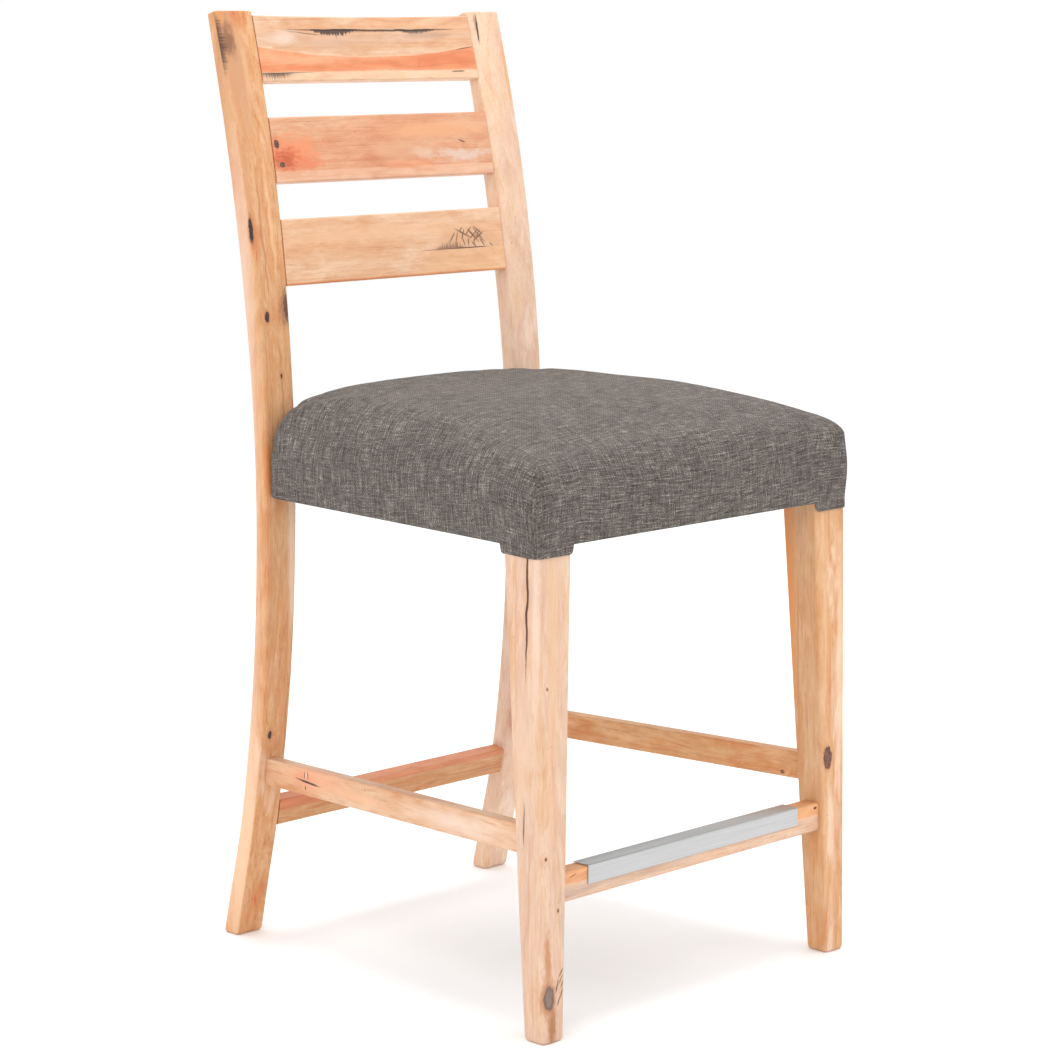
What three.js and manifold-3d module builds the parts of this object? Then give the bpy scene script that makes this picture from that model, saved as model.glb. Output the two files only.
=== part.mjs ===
// Counter-height bar stool: four legs, ladder back, fixed upholstered seat,
// four stretchers and a metal-capped footrest.
// Millimetres, +Z up, the stool faces -Y, origin on the floor under the middle of its box.
import * as THREE from 'three';
import { mergeVertices } from 'three/addons/utils/BufferGeometryUtils.js';
import Module from 'manifold-3d';

const wasm = await Module();
wasm.setup();

// ---------------------------------------------------------------- driving dimensions
const GAP = 0.3;                    // clearance left between separate pieces
const HEIGHT = 1050;                // front top corner of the rear posts
const BOX_CENTRE_Y = 0.45;          // brings the middle of the whole box over the origin

// rear posts: front face and depth (both measured level) along their height
const POST_Z = [0, 60, 130, 200, 270, 350, 430, 520, 600, 680, 760, 840, 920, 990, 1050];
const POST_FRONT = [243.3, 230.5, 214.9, 203.0, 193.8, 186.7, 183.1, 182.0, 184.5, 190.4, 199.6, 212.0, 227.9, 244.8, 260.7];
const POST_DEPTH = [24.6, 23.2, 22.0, 21.9, 21.8, 21.2, 20.7, 20.6, 21.0, 21.7, 22.2, 21.8, 20.4, 18.4, 15.8];
const POST_OUTER = 218;             // outer side face, X
const POST_INNER_Z = [0, 200, 400, 520, 640, 760, 920, 1050];
const POST_INNER = [180.2, 178.8, 175.8, 174.2, 172.9, 171.0, 167.6, 165.2];
const POST_LEVELS = 26;
const POST_EDGE = 2.5;              // eased long edges
const POST_TOP_FALL = 0.26;         // top end falls towards the back

// front legs: square at the top, tapered on the two inner faces
const LEG_TOP_Z = 566;
const LEG_OUTER = 242.6;
const LEG_INNER_FOOT = 212.4, LEG_INNER_TOP = 191.0;
const LEG_FRONT_FOOT = -276.0, LEG_FRONT_TOP = -263.5;
const LEG_BACK_FOOT = -246.2, LEG_BACK_TOP = -212.9;
const LEG_EDGE = 2.6, LEG_EDGE_FOOT = 4.4; // eased long edges, rounder at the floor
const FOOT_EASE = 1.8;              // small bevel round the lower end of every leg

// back rails: lower and upper front edge
const BACK_RAILS = { lower: [748, 821], middle: [861, 933], top: [972, 1045] };
const RAIL_THICK = 14.5;
const RAIL_EDGE = 1.8;
const RAIL_TENON = [24, 7, 50];     // length, thickness, height

// stretchers
const STR_THICK = 16;
const STR_EDGE = 1.6;
const SIDE_STR = { rearX: 198.4, frontX: 224.2, rearZ: 199.0, frontZ: 209.0, height: 30.8 };
const REAR_STR = { z0: 129.5, z1: 159.5, thick: 18.5 };
const FRONT_STR = { y0: -265.8, z0: 142.8, z1: 174.6, thick: 21 };
const STR_TENON = [13.5, 8, 20];    // length, thickness, height

// footrest cap: angle profile
const CAP = { half: 168.2, sheet: 1.2, bottomZ: 155.6, backY: -245.0 };

// seat frame
const SEAT_RAIL = { z0: 518.2, z1: 566, thick: 20 };
const SIDE_RAIL_X = { front: 230.0, rear: 199.2 };
const FRONT_RAIL_Y = [-261.6, -241.6];
const REAR_RAIL_Y = [184.6, 202.0];
const SEAT_TENON = [17, 8, 34];
const BLOCK = { z0: 536, z1: 566, legFront: 52, legSide: 62 };
const BOARD = { z0: 566.3, z1: 578.3 };

// upholstery
const SEAT = {
  bottom: 516, tab: 506,
  frontY: -267.2, cornerY: -214, rearY: 181.2, tongueY: 205.2, tongueHalf: 171.4,
  frontHalf: 245.6, rearHalf: 213.6,
  edgeZ: 588, crownZ: 637, cloth: 1.9,
};

// ---------------------------------------------------------------- materials
const mat = (color, roughness, metalness = 0) => new THREE.MeshStandardMaterial({ color, roughness, metalness });
const timber = () => mat(0xe0b48c, 0.45);
const innerTimber = () => mat(0xd8bb93, 0.7);

// ---------------------------------------------------------------- solid helpers
function toSolid(geometry) {
  const g = geometry.clone();
  for (const key of Object.keys(g.attributes)) if (key !== 'position') g.deleteAttribute(key);
  const m = mergeVertices(g, 1e-4);
  const p = m.attributes.position.array;
  const tri = Array.from(m.index.array);
  let volume = 0;
  for (let i = 0; i < tri.length; i += 3) {
    const [a, b, c] = [tri[i] * 3, tri[i + 1] * 3, tri[i + 2] * 3];
    volume += p[a] * (p[b + 1] * p[c + 2] - p[b + 2] * p[c + 1])
      - p[a + 1] * (p[b] * p[c + 2] - p[b + 2] * p[c])
      + p[a + 2] * (p[b] * p[c + 1] - p[b + 1] * p[c]);
  }
  if (volume < 0) for (let i = 0; i < tri.length; i += 3) [tri[i + 1], tri[i + 2]] = [tri[i + 2], tri[i + 1]];
  return new wasm.Manifold(new wasm.Mesh({
    numProp: 3, vertProperties: new Float32Array(p), triVerts: new Uint32Array(tri),
  }));
}

function toGeometry(solid) {
  const m = solid.getMesh();
  const g = new THREE.BufferGeometry();
  g.setAttribute('position', new THREE.BufferAttribute(new Float32Array(m.vertProperties), 3));
  g.setIndex(new THREE.BufferAttribute(new Uint32Array(m.triVerts), 1));
  g.computeVertexNormals();
  return g;
}

const cut = (solid, ...tools) => tools.reduce((s, t) => s.subtract(t), solid);
const join = (solid, ...more) => more.reduce((s, t) => s.add(t), solid);

function block(x0, x1, y0, y1, z0, z1) {
  const g = new THREE.BoxGeometry(Math.abs(x1 - x0), Math.abs(y1 - y0), Math.abs(z1 - z0));
  g.translate((x0 + x1) / 2, (y0 + y1) / 2, (z0 + z1) / 2);
  return toSolid(g);
}

// a box whose long axis runs from a to b; width is level, height stays upright
function beam(a, b, width, height, extra = 0) {
  const dir = new THREE.Vector3().subVectors(b, a);
  const length = dir.length();
  dir.normalize();
  const side = new THREE.Vector3().crossVectors(new THREE.Vector3(0, 0, 1), dir).normalize();
  const up = new THREE.Vector3().crossVectors(dir, side);
  const g = new THREE.BoxGeometry(length + 2 * extra, width, height);
  const m = new THREE.Matrix4().makeBasis(dir, side, up);
  m.setPosition(new THREE.Vector3().addVectors(a, b).multiplyScalar(0.5));
  g.applyMatrix4(m);
  return toSolid(g);
}

// flat outline (x, y points) raised from z0 to z1
function prism(points, z0, z1) {
  const shape = new THREE.Shape(points.map(([x, y]) => new THREE.Vector2(x, y)));
  const g = new THREE.ExtrudeGeometry(shape, { depth: z1 - z0, bevelEnabled: false, steps: 1 });
  g.translate(0, 0, z0);
  return toSolid(g);
}

// rounded rectangle as a closed ring of 4 x (n + 1) points in (a, b)
function roundedRing(a0, a1, b0, b1, r, n = 3) {
  const ring = [];
  const corners = [[a1 - r, b1 - r, 0], [a0 + r, b1 - r, 90], [a0 + r, b0 + r, 180], [a1 - r, b0 + r, 270]];
  for (const [ca, cb, start] of corners) {
    for (let i = 0; i <= n; i++) {
      const t = THREE.MathUtils.degToRad(start + (90 * i) / n);
      ring.push([ca + r * Math.cos(t), cb + r * Math.sin(t)]);
    }
  }
  return ring;
}

// a closed tube over a list of rings, each ring a list of [x, y, z]
function loft(rings) {
  const k = rings[0].length;
  const n = rings.length - 1;
  const g = new THREE.CylinderGeometry(1, 1, n, k, n);
  const p = g.attributes.position;
  const centre = (ring) => ring.reduce((s, v) => s.map((c, i) => c + v[i] / k), [0, 0, 0]);
  for (let i = 0; i < p.count; i++) {
    const level = Math.round(p.getY(i) + n / 2);
    const radius = Math.hypot(p.getX(i), p.getZ(i));
    let v;
    if (radius < 0.5) v = centre(rings[level]);
    else {
      const turn = Math.atan2(p.getX(i), p.getZ(i)) / (2 * Math.PI);
      v = rings[level][((Math.round(turn * k) % k) + k) % k];
    }
    p.setXYZ(i, v[0], v[1], v[2]);
  }
  return toSolid(g);
}

function track(xs, ys) {
  const it = new THREE.CubicInterpolant(new Float32Array(xs), new Float32Array(ys), 1, new Float32Array(1));
  return (x) => it.evaluate(THREE.MathUtils.clamp(x, xs[0], xs[xs.length - 1]))[0];
}

const mirrorX = (solid) => solid.mirror([1, 0, 0]);

// ---------------------------------------------------------------- profile functions
const postFront = track(POST_Z, POST_FRONT);
const postDepth = track(POST_Z, POST_DEPTH);
const postInner = track(POST_INNER_Z, POST_INNER);
const postBack = (z) => postFront(z) + postDepth(z);
const lerp = THREE.MathUtils.lerp;
const legInner = (z) => lerp(LEG_INNER_FOOT, LEG_INNER_TOP, z / LEG_TOP_Z);
const legFront = (z) => lerp(LEG_FRONT_FOOT, LEG_FRONT_TOP, z / LEG_TOP_Z);
const legBack = (z) => lerp(LEG_BACK_FOOT, LEG_BACK_TOP, z / LEG_TOP_Z);

// ---------------------------------------------------------------- legs and posts (right-hand ones, +X)
function frontLeg() {
  const levels = [[0, FOOT_EASE], [FOOT_EASE, 0], [60, 0], [150, 0], [LEG_TOP_Z, 0]];
  return loft(levels.map(([z, inset]) =>
    roundedRing(legInner(z) + inset, LEG_OUTER - inset, legFront(z) + inset, legBack(z) - inset,
      lerp(LEG_EDGE_FOOT, LEG_EDGE, Math.min(z / 150, 1)))
      .map(([x, y]) => [x, y, z])));
}

function rearPost() {
  const levels = [[0, FOOT_EASE], [FOOT_EASE, 0]];
  for (let i = 1; i < POST_LEVELS; i++) levels.push([(HEIGHT - 2) * (i / (POST_LEVELS - 1)), 0]);
  levels.push([HEIGHT, 1.2]);
  const top = levels.length - 2;
  return loft(levels.map(([z, inset], i) => {
    const ring = roundedRing(postInner(z) + inset, POST_OUTER - inset, postFront(z) + inset, postBack(z) - inset, POST_EDGE);
    return ring.map(([x, y]) => {
      const fall = i >= top ? POST_TOP_FALL * (y - postFront(z)) : 0;
      return [x, y + (i >= top ? -fall * 0.25 : 0), z - fall];
    });
  }));
}

// ---------------------------------------------------------------- rails and stretchers
// a back rail follows the lean of the posts, its front face in line with theirs
function backRail([z0, z1]) {
  const y0 = postFront(z0), y1 = postFront(z1);
  const up = new THREE.Vector2(y1 - y0, z1 - z0);
  const height = up.length();
  up.normalize();
  const back = new THREE.Vector2(up.y, -up.x);           // (y, z) direction into the rail
  const at = (a, b) => [y0 + 0.4 + up.x * a + back.x * b, z0 + up.y * a + back.y * b];
  const ring = roundedRing(0, height, 0, RAIL_THICK, RAIL_EDGE);
  const end = (sign) => ring.map(([a, b]) => {
    const [y, z] = at(a, b);
    return [sign * (postInner(z) - GAP), y, z];
  });
  const body = loft([end(-1), end(1)]);
  const [len, thick, tall] = RAIL_TENON;
  const centre = at(height / 2, RAIL_THICK / 2);
  const reach = postInner(centre[1]) + len;
  const angle = Math.atan2(up.x, up.y);
  const tenon = (extra) => {
    const g = new THREE.BoxGeometry(2 * (reach + extra), thick + 2 * extra, tall + 2 * extra);
    g.rotateX(-angle);
    g.translate(0, centre[0], centre[1]);
    return toSolid(g);
  };
  return { solid: join(body, tenon(0)), mortise: tenon(GAP), centre: [0, centre[0], centre[1]] };
}

// side stretcher and side seat rail, right-hand side: post front face to leg back face
function sideMember({ rearX, frontX, rearZ, frontZ, height }, thick, edge, tenonSize) {
  const end = (x, z, face, offset) => roundedRing(x - thick / 2, x + thick / 2, z - height / 2, z + height / 2, edge)
    .map(([px, pz]) => [px, face(pz) + offset, pz]);
  const body = loft([end(rearX, rearZ, postFront, -GAP), end(frontX, frontZ, legBack, GAP)]);
  const a = new THREE.Vector3(rearX, postFront(rearZ), rearZ);
  const b = new THREE.Vector3(frontX, legBack(frontZ), frontZ);
  const [len, tw, th] = tenonSize;
  const tenon = (extra) => beam(a, b, tw + 2 * extra, th + 2 * extra, len + extra);
  return { solid: join(body, tenon(0)), mortise: tenon(GAP) };
}

function rearStretcher() {
  const { z0, z1, thick } = REAR_STR;
  const y0 = postFront(z0), y1 = postFront(z1);
  const up = new THREE.Vector2(y1 - y0, z1 - z0);
  const height = up.length();
  up.normalize();
  const back = new THREE.Vector2(up.y, -up.x);
  const at = (a, b) => [y0 + 0.4 + up.x * a + back.x * b, z0 + up.y * a + back.y * b];
  const ring = roundedRing(0, height, 0, thick, STR_EDGE);
  const end = (sign) => ring.map(([a, b]) => {
    const [y, z] = at(a, b);
    return [sign * (postInner(z) - GAP), y, z];
  });
  const centre = at(height / 2, thick / 2);
  const angle = Math.atan2(up.x, up.y);
  const tenon = (extra) => {
    const g = new THREE.BoxGeometry(2 * (postInner(centre[1]) + 20 + extra), 8 + 2 * extra, 20 + 2 * extra);
    g.rotateX(-angle);
    g.translate(0, centre[0], centre[1]);
    return toSolid(g);
  };
  return { solid: join(loft([end(-1), end(1)]), tenon(0)), mortise: tenon(GAP), centre: [0, centre[0], centre[1]] };
}

function crossMember(y0, y1, z0, z1, edge, tenonSize) {
  const ring = roundedRing(y0, y1, z0, z1, edge);
  const end = (sign) => ring.map(([y, z]) => [sign * (legInner(z) - GAP), y, z]);
  const [len, tw, th] = tenonSize;
  const cy = (y0 + y1) / 2, cz = (z0 + z1) / 2;
  const reach = legInner(cz) + len;
  const tenon = (e) => block(-reach - e, reach + e, cy - tw / 2 - e, cy + tw / 2 + e, cz - th / 2 - e, cz + th / 2 + e);
  return { solid: join(loft([end(-1), end(1)]), tenon(0)), mortise: tenon(GAP) };
}

// ---------------------------------------------------------------- upholstery shape
// outline of the padded seat in plan, +X half, from front centre to back centre
function halfWidth(y, inset = 0) {
  const { frontHalf, rearHalf, cornerY, rearY } = SEAT;
  if (y <= cornerY) return frontHalf - inset;
  return lerp(frontHalf, rearHalf, (y - cornerY) / (rearY - cornerY)) - inset;
}

// a crowned, soft-edged pad; inset shrinks it evenly, floorZ is its flat underside
function pad(inset, floorZ) {
  const nx = 18, ny = 18, nz = 5;
  const g = new THREE.BoxGeometry(2, 2, 1, nx, ny, nz);
  const p = g.attributes.position;
  const front = SEAT.frontY + inset, rear = SEAT.tongueY + 2;
  const spread = (t) => Math.sign(t) * Math.pow(Math.abs(t), 0.72);    // finer near the edges
  const edge = SEAT.edgeZ - inset, crown = SEAT.crownZ - inset;
  for (let i = 0; i < p.count; i++) {
    const u = spread(p.getX(i)), v = spread(p.getY(i)), w = p.getZ(i) + 0.5;
    const y = lerp(front, rear, (v + 1) / 2);
    const x = u * halfWidth(Math.min(y, SEAT.rearY), inset);
    const fallX = Math.pow(Math.abs(u), 5.0), fallY = v < 0 ? Math.pow(-v, 4.2) : Math.pow(v, 9) * 0.75;
    const top = edge + (crown - edge) * (1 - fallX) * (1 - fallY);
    p.setXYZ(i, x, y, lerp(floorZ, top, Math.pow(w, 1.15)));
  }
  return toSolid(g);
}

// room for the rear posts and the strip of seat between them
function rearTrim(inset) {
  const { rearY, tongueY, tongueHalf } = SEAT;
  const side = (s) => block(s * (tongueHalf - inset), s * 320, rearY - inset, rearY + 60, 480, 700);
  return [side(1), side(-1), block(-320, 320, tongueY - inset, tongueY + 60, 480, 700)];
}

function seatCover() {
  const { cloth, bottom, tab, frontY, cornerY, frontHalf } = SEAT;
  const outer = cut(pad(0, bottom), ...rearTrim(0));
  const inner = cut(pad(cloth, bottom - 30), ...rearTrim(cloth));
  // below the rail tops the cloth is cut away where rails run into the rear posts
  const { rearY, rearHalf, tongueY, tongueHalf } = SEAT;
  const slots = [1, -1].map((s) => block(s * (tongueHalf - cloth - 0.5), s * (rearHalf - cloth - 0.4),
    rearY - cloth - 0.5, tongueY - cloth - 0.1, bottom - 20, SEAT_RAIL.z1 + GAP));
  let shell = cut(outer, inner, ...slots);
  for (const s of [1, -1]) {
    const outside = block(s * (legInner(tab) - 1.2), s * frontHalf, frontY, cornerY + 2.2, tab, bottom + 8);
    const hollow = block(s * (legInner(tab) - 40), s * (frontHalf - cloth), frontY + cloth, cornerY + 60, tab - 10, bottom + 20);
    shell = shell.add(outside.subtract(hollow));
  }
  return shell;
}

function seatFoam() {
  return cut(pad(SEAT.cloth + GAP, BOARD.z1 + GAP), ...rearTrim(SEAT.cloth + GAP));
}

// plan outline of a flat sheet lying inside the cover, notched for the rear posts
function plan(inset, legNotch) {
  const { frontY, cornerY, rearY, tongueY, tongueHalf } = SEAT;
  const f = frontY + inset, h = halfWidth(frontY, inset);
  const right = legNotch
    ? [[legInner(516) - 1.2, f], [legInner(516) - 1.2, legBack(516) + 1.2], [halfWidth(legBack(516) + 1.2, inset), legBack(516) + 1.2]]
    : [[h, f], [h, cornerY]];
  right.push([halfWidth(rearY, inset) - 0.2, rearY - inset], [tongueHalf - inset, rearY - inset], [tongueHalf - inset, tongueY - inset]);
  return [...right, ...right.slice().reverse().map(([x, y]) => [-x, y])];
}

// ---------------------------------------------------------------- screws
const SCREW = { head: 4.0, shank: 2.0, headDepth: 2.6 };
function screwSolid(length, extra = 0) {
  const { head, shank, headDepth } = SCREW;
  const profile = [
    [0, -length - extra], [shank + extra, -length - extra], [shank + extra, -headDepth - extra],
    [head + extra, -extra], [head + extra, extra > 0 ? 40 : 0], [0, extra > 0 ? 40 : 0],
  ].map(([r, z]) => new THREE.Vector2(r, z));
  const g = new THREE.LatheGeometry(profile, 12);
  g.rotateX(Math.PI / 2);                                  // axis along +Z, head up
  return toSolid(g);
}
function orient(solid, position, direction) {
  const q = new THREE.Quaternion().setFromUnitVectors(new THREE.Vector3(0, 0, 1), direction.clone().normalize());
  const m = new THREE.Matrix4().compose(position, q, new THREE.Vector3(1, 1, 1));
  return solid.transform(m.elements.slice());
}

// ---------------------------------------------------------------- build the solids
const legR = frontLeg();
const postR = rearPost();
const rails = Object.fromEntries(Object.entries(BACK_RAILS).map(([k, v]) => [k, backRail(v)]));
const strSide = sideMember(SIDE_STR, STR_THICK, STR_EDGE, STR_TENON);
const strRear = rearStretcher();
const strFront = crossMember(FRONT_STR.y0, FRONT_STR.y0 + FRONT_STR.thick, FRONT_STR.z0, FRONT_STR.z1, STR_EDGE, [20, 8, 20]);

const railMid = (SEAT_RAIL.z0 + SEAT_RAIL.z1) / 2, railTall = SEAT_RAIL.z1 - SEAT_RAIL.z0;
const seatSide = sideMember({ rearX: SIDE_RAIL_X.rear, frontX: SIDE_RAIL_X.front, rearZ: railMid, frontZ: railMid, height: railTall },
  SEAT_RAIL.thick, 1.0, [14, SEAT_TENON[1], SEAT_TENON[2]]);
const seatFront = crossMember(FRONT_RAIL_Y[0], FRONT_RAIL_Y[1], SEAT_RAIL.z0, SEAT_RAIL.z1, 1.0, SEAT_TENON);
const rearCy = (REAR_RAIL_Y[0] + REAR_RAIL_Y[1]) / 2;
const rearReach = postInner(railMid);
const rearTenon = (e) => block(-rearReach - 18 - e, rearReach + 18 + e, rearCy - 3.5 - e, rearCy + 3.5 + e,
  railMid - SEAT_TENON[2] / 2 - e, railMid + SEAT_TENON[2] / 2 + e);
const rearRing = roundedRing(REAR_RAIL_Y[0], REAR_RAIL_Y[1], SEAT_RAIL.z0, SEAT_RAIL.z1, 1.0);
const seatRear = {
  solid: join(loft([-1, 1].map((s) => rearRing.map(([y, z]) => [s * (postInner(z) - GAP), y, z]))), rearTenon(0)),
  mortise: rearTenon(GAP),
};

// corner blocks, right-hand side
const railDir = new THREE.Vector2(SIDE_RAIL_X.rear - SIDE_RAIL_X.front, postFront(railMid) - legBack(railMid)).normalize();
const sideInnerX = (y) => lerp(SIDE_RAIL_X.front, SIDE_RAIL_X.rear, (y - legBack(railMid)) / (postFront(railMid) - legBack(railMid))) - SEAT_RAIL.thick / 2 - GAP - 0.1;
const fy = FRONT_RAIL_Y[1] + GAP, ly = legBack(BLOCK.z1) + 0.8, lx = legInner(BLOCK.z1) - 0.6;
const blockFrontPlan = [[lx, fy], [lx, ly], [sideInnerX(ly), ly], [sideInnerX(ly + BLOCK.legSide), ly + BLOCK.legSide], [lx - BLOCK.legFront, fy]];
const py = SEAT.rearY - 0.2, ry = REAR_RAIL_Y[0] - GAP, px = postInner(540) - 0.8;
const blockRearPlan = [[sideInnerX(py), py], [px, py], [px, ry], [px - BLOCK.legFront, ry], [sideInnerX(py - BLOCK.legSide), py - BLOCK.legSide]];
const blockFront = prism(blockFrontPlan, BLOCK.z0, BLOCK.z1);
const blockRear = prism(blockRearPlan, BLOCK.z0, BLOCK.z1);

// screws: two through each block into its rails, one down through the board
const zs = (BLOCK.z0 + BLOCK.z1) / 2;
const sideNormal = new THREE.Vector3(-railDir.y, railDir.x, 0);   // towards the middle of the seat
const onLine = (a, b, t) => [lerp(a[0], b[0], t), lerp(a[1], b[1], t)];
const frontFace = (t) => onLine(blockFrontPlan[4], blockFrontPlan[3], t);
const rearFace = (t) => onLine(blockRearPlan[3], blockRearPlan[4], t);
const V = (p, z) => new THREE.Vector3(p[0], p[1], z);
const inset = (p, dir, d) => p.clone().addScaledVector(dir, -d);
const yPlus = new THREE.Vector3(0, 1, 0), yMinus = new THREE.Vector3(0, -1, 0), zPlus = new THREE.Vector3(0, 0, 1);
const screwSpots = {
  front_block_to_front_rail: [inset(V(frontFace(0.3), zs + 4), yPlus, 3.5), yPlus, 26],
  front_block_to_side_rail: [inset(V(frontFace(0.74), zs - 4), sideNormal, 3.5), sideNormal, 25],
  rear_block_to_rear_rail: [inset(V(rearFace(0.3), zs + 4), yMinus, 3.5), yMinus, 25],
  rear_block_to_side_rail: [inset(V(rearFace(0.74), zs - 4), sideNormal, 3.5), sideNormal, 25],
};
const boardSpots = {
  board_to_front_block: [V([frontFace(0.5)[0] + 11, frontFace(0.5)[1] - 11], BOARD.z1 - 0.4), zPlus, 30],
  board_to_rear_block: [V([rearFace(0.5)[0] + 11, rearFace(0.5)[1] + 11], BOARD.z1 - 0.4), zPlus, 30],
};
const screwsR = {}, holesR = [];
for (const [name, [pos, dir, len]] of Object.entries({ ...screwSpots, ...boardSpots })) {
  screwsR[name] = orient(screwSolid(len), pos, dir);
  holesR.push(orient(screwSolid(len, GAP), pos, dir));
}
const holesL = holesR.map(mirrorX);

// legs and posts with their mortises
const legCuts = [strSide.mortise, strFront.mortise, seatSide.mortise, seatFront.mortise];
const postCuts = [strSide.mortise, strRear.mortise, seatSide.mortise, seatRear.mortise, ...Object.values(rails).map((r) => r.mortise)];
const legSolid = cut(legR, ...legCuts);
const postSolid = cut(postR, ...postCuts);
const sideRailR = cut(seatSide.solid, ...holesR);
const boardSolid = cut(prism(plan(SEAT.cloth + 2.6, false), BOARD.z0, BOARD.z1), ...holesR, ...holesL);

const clothSheet = prism(plan(SEAT.cloth + 1.4, true), SEAT.bottom + 0.5, SEAT.bottom + 1.7);

// footrest cap: angle section in (y, z), folded over the front top edge
const capShape = (() => {
  const yo = FRONT_STR.y0 - GAP - CAP.sheet, yi = FRONT_STR.y0 - GAP;
  const zo = FRONT_STR.z1 + GAP + CAP.sheet, zi = FRONT_STR.z1 + GAP;
  const s = new THREE.Shape();
  s.moveTo(yo, CAP.bottomZ);
  s.lineTo(yo, zo - 1.8);
  s.absarc(yo + 1.8, zo - 1.8, 1.8, Math.PI, Math.PI / 2, true);
  s.lineTo(CAP.backY, zo);
  s.lineTo(CAP.backY, zi);
  s.lineTo(yi, zi);
  s.lineTo(yi, CAP.bottomZ);
  s.closePath();
  return s;
})();
const capGeometry = new THREE.ExtrudeGeometry(capShape, { depth: 2 * CAP.half, bevelEnabled: false, curveSegments: 4 });
capGeometry.applyMatrix4(new THREE.Matrix4().makeBasis(
  new THREE.Vector3(0, 1, 0), new THREE.Vector3(0, 0, 1), new THREE.Vector3(1, 0, 0)));
capGeometry.translate(-CAP.half, 0, 0);

// ---------------------------------------------------------------- scene graph
const stool = new THREE.Group();
stool.position.y = BOX_CENTRE_Y;
const groups = {};
for (const key of ['legs', 'back', 'stretchers', 'seat_frame', 'upholstery', 'fasteners']) {
  groups[key] = new THREE.Group();
  stool.add(groups[key]);
}

// each mesh keeps its geometry about its own reference point and is placed by position
function add(group, name, solid, material, at = [0, 0, 0]) {
  const g = toGeometry(solid);
  g.translate(-at[0], -at[1], -at[2]);
  const mesh = new THREE.Mesh(g, material);
  mesh.name = name;
  mesh.position.set(...at);
  groups[group].add(mesh);
}
function addPair(group, name, solid, material, at) {
  add(group, `${name}_right`, solid, material(), at);
  add(group, `${name}_left`, mirrorX(solid), material(), [-at[0], at[1], at[2]]);
}

addPair('legs', 'front_leg', legSolid, timber, [LEG_OUTER, LEG_FRONT_FOOT, 0]);
addPair('legs', 'rear_post', postSolid, timber, [POST_OUTER, POST_FRONT[0], 0]);
for (const [key, rail] of Object.entries(rails)) add('back', `back_rail_${key}`, rail.solid, timber(), rail.centre);
addPair('stretchers', 'side_stretcher', strSide.solid, timber, [SIDE_STR.frontX, legBack(SIDE_STR.frontZ), SIDE_STR.frontZ]);
add('stretchers', 'rear_stretcher', strRear.solid, timber(), strRear.centre);
add('stretchers', 'footrest_stretcher', strFront.solid, timber(), [0, FRONT_STR.y0, FRONT_STR.z0]);
add('stretchers', 'footrest_cap', toSolid(capGeometry), mat(0xc8cbca, 0.32, 1), [0, FRONT_STR.y0, FRONT_STR.z1]);

add('seat_frame', 'seat_rail_front', cut(seatFront.solid, ...holesR, ...holesL), innerTimber(), [0, FRONT_RAIL_Y[0], SEAT_RAIL.z0]);
add('seat_frame', 'seat_rail_rear', cut(seatRear.solid, ...holesR, ...holesL), innerTimber(), [0, REAR_RAIL_Y[0], SEAT_RAIL.z0]);
addPair('seat_frame', 'seat_rail_side', sideRailR, innerTimber, [SIDE_RAIL_X.front, legBack(railMid), SEAT_RAIL.z0]);
addPair('seat_frame', 'corner_block_front', cut(blockFront, ...holesR), innerTimber, [blockFrontPlan[0][0], blockFrontPlan[0][1], BLOCK.z0]);
addPair('seat_frame', 'corner_block_rear', cut(blockRear, ...holesR), innerTimber, [blockRearPlan[0][0], blockRearPlan[0][1], BLOCK.z0]);
add('seat_frame', 'seat_board', boardSolid, mat(0xc9a777, 0.75), [0, 0, BOARD.z0]);

add('upholstery', 'seat_foam', seatFoam(), mat(0xe9dfb8, 0.95), [0, 0, BOARD.z1]);
add('upholstery', 'seat_cover', seatCover(), mat(0x766c68, 0.95), [0, 0, SEAT.bottom]);
add('upholstery', 'dust_cloth', clothSheet, mat(0x1c1c1d, 0.98), [0, 0, SEAT.bottom]);

for (const [name, solid] of Object.entries(screwsR)) {
  addPair('fasteners', `screw_${name}`, solid, () => mat(0xb9a24c, 0.35, 1), [0, 0, 0]);
}

export default stool;
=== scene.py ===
"""Looks of the counter stool: timber pieces, woven seat, metal footrest cap, floor, light and camera.

Every length in the mesh code is in millimetres in the row frame (+Z up, the stool faces -Y) and is scaled to metres when the mesh is made.
"""

import math

import bpy
import numpy as np
from mathutils import Matrix, Vector, noise


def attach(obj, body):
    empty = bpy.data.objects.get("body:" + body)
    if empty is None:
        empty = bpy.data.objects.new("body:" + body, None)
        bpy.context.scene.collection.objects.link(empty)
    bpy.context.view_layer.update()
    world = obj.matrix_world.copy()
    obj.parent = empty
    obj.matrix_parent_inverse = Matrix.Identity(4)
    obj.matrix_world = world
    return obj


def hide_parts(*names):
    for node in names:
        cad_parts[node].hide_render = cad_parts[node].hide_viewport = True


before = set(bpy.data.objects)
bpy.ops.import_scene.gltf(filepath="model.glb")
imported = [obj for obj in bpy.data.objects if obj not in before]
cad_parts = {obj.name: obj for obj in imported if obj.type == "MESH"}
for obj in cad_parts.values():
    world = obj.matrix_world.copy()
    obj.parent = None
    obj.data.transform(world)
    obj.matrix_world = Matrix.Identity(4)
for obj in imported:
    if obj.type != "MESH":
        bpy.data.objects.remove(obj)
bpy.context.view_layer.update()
scene = bpy.context.scene
MM = 0.001


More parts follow.
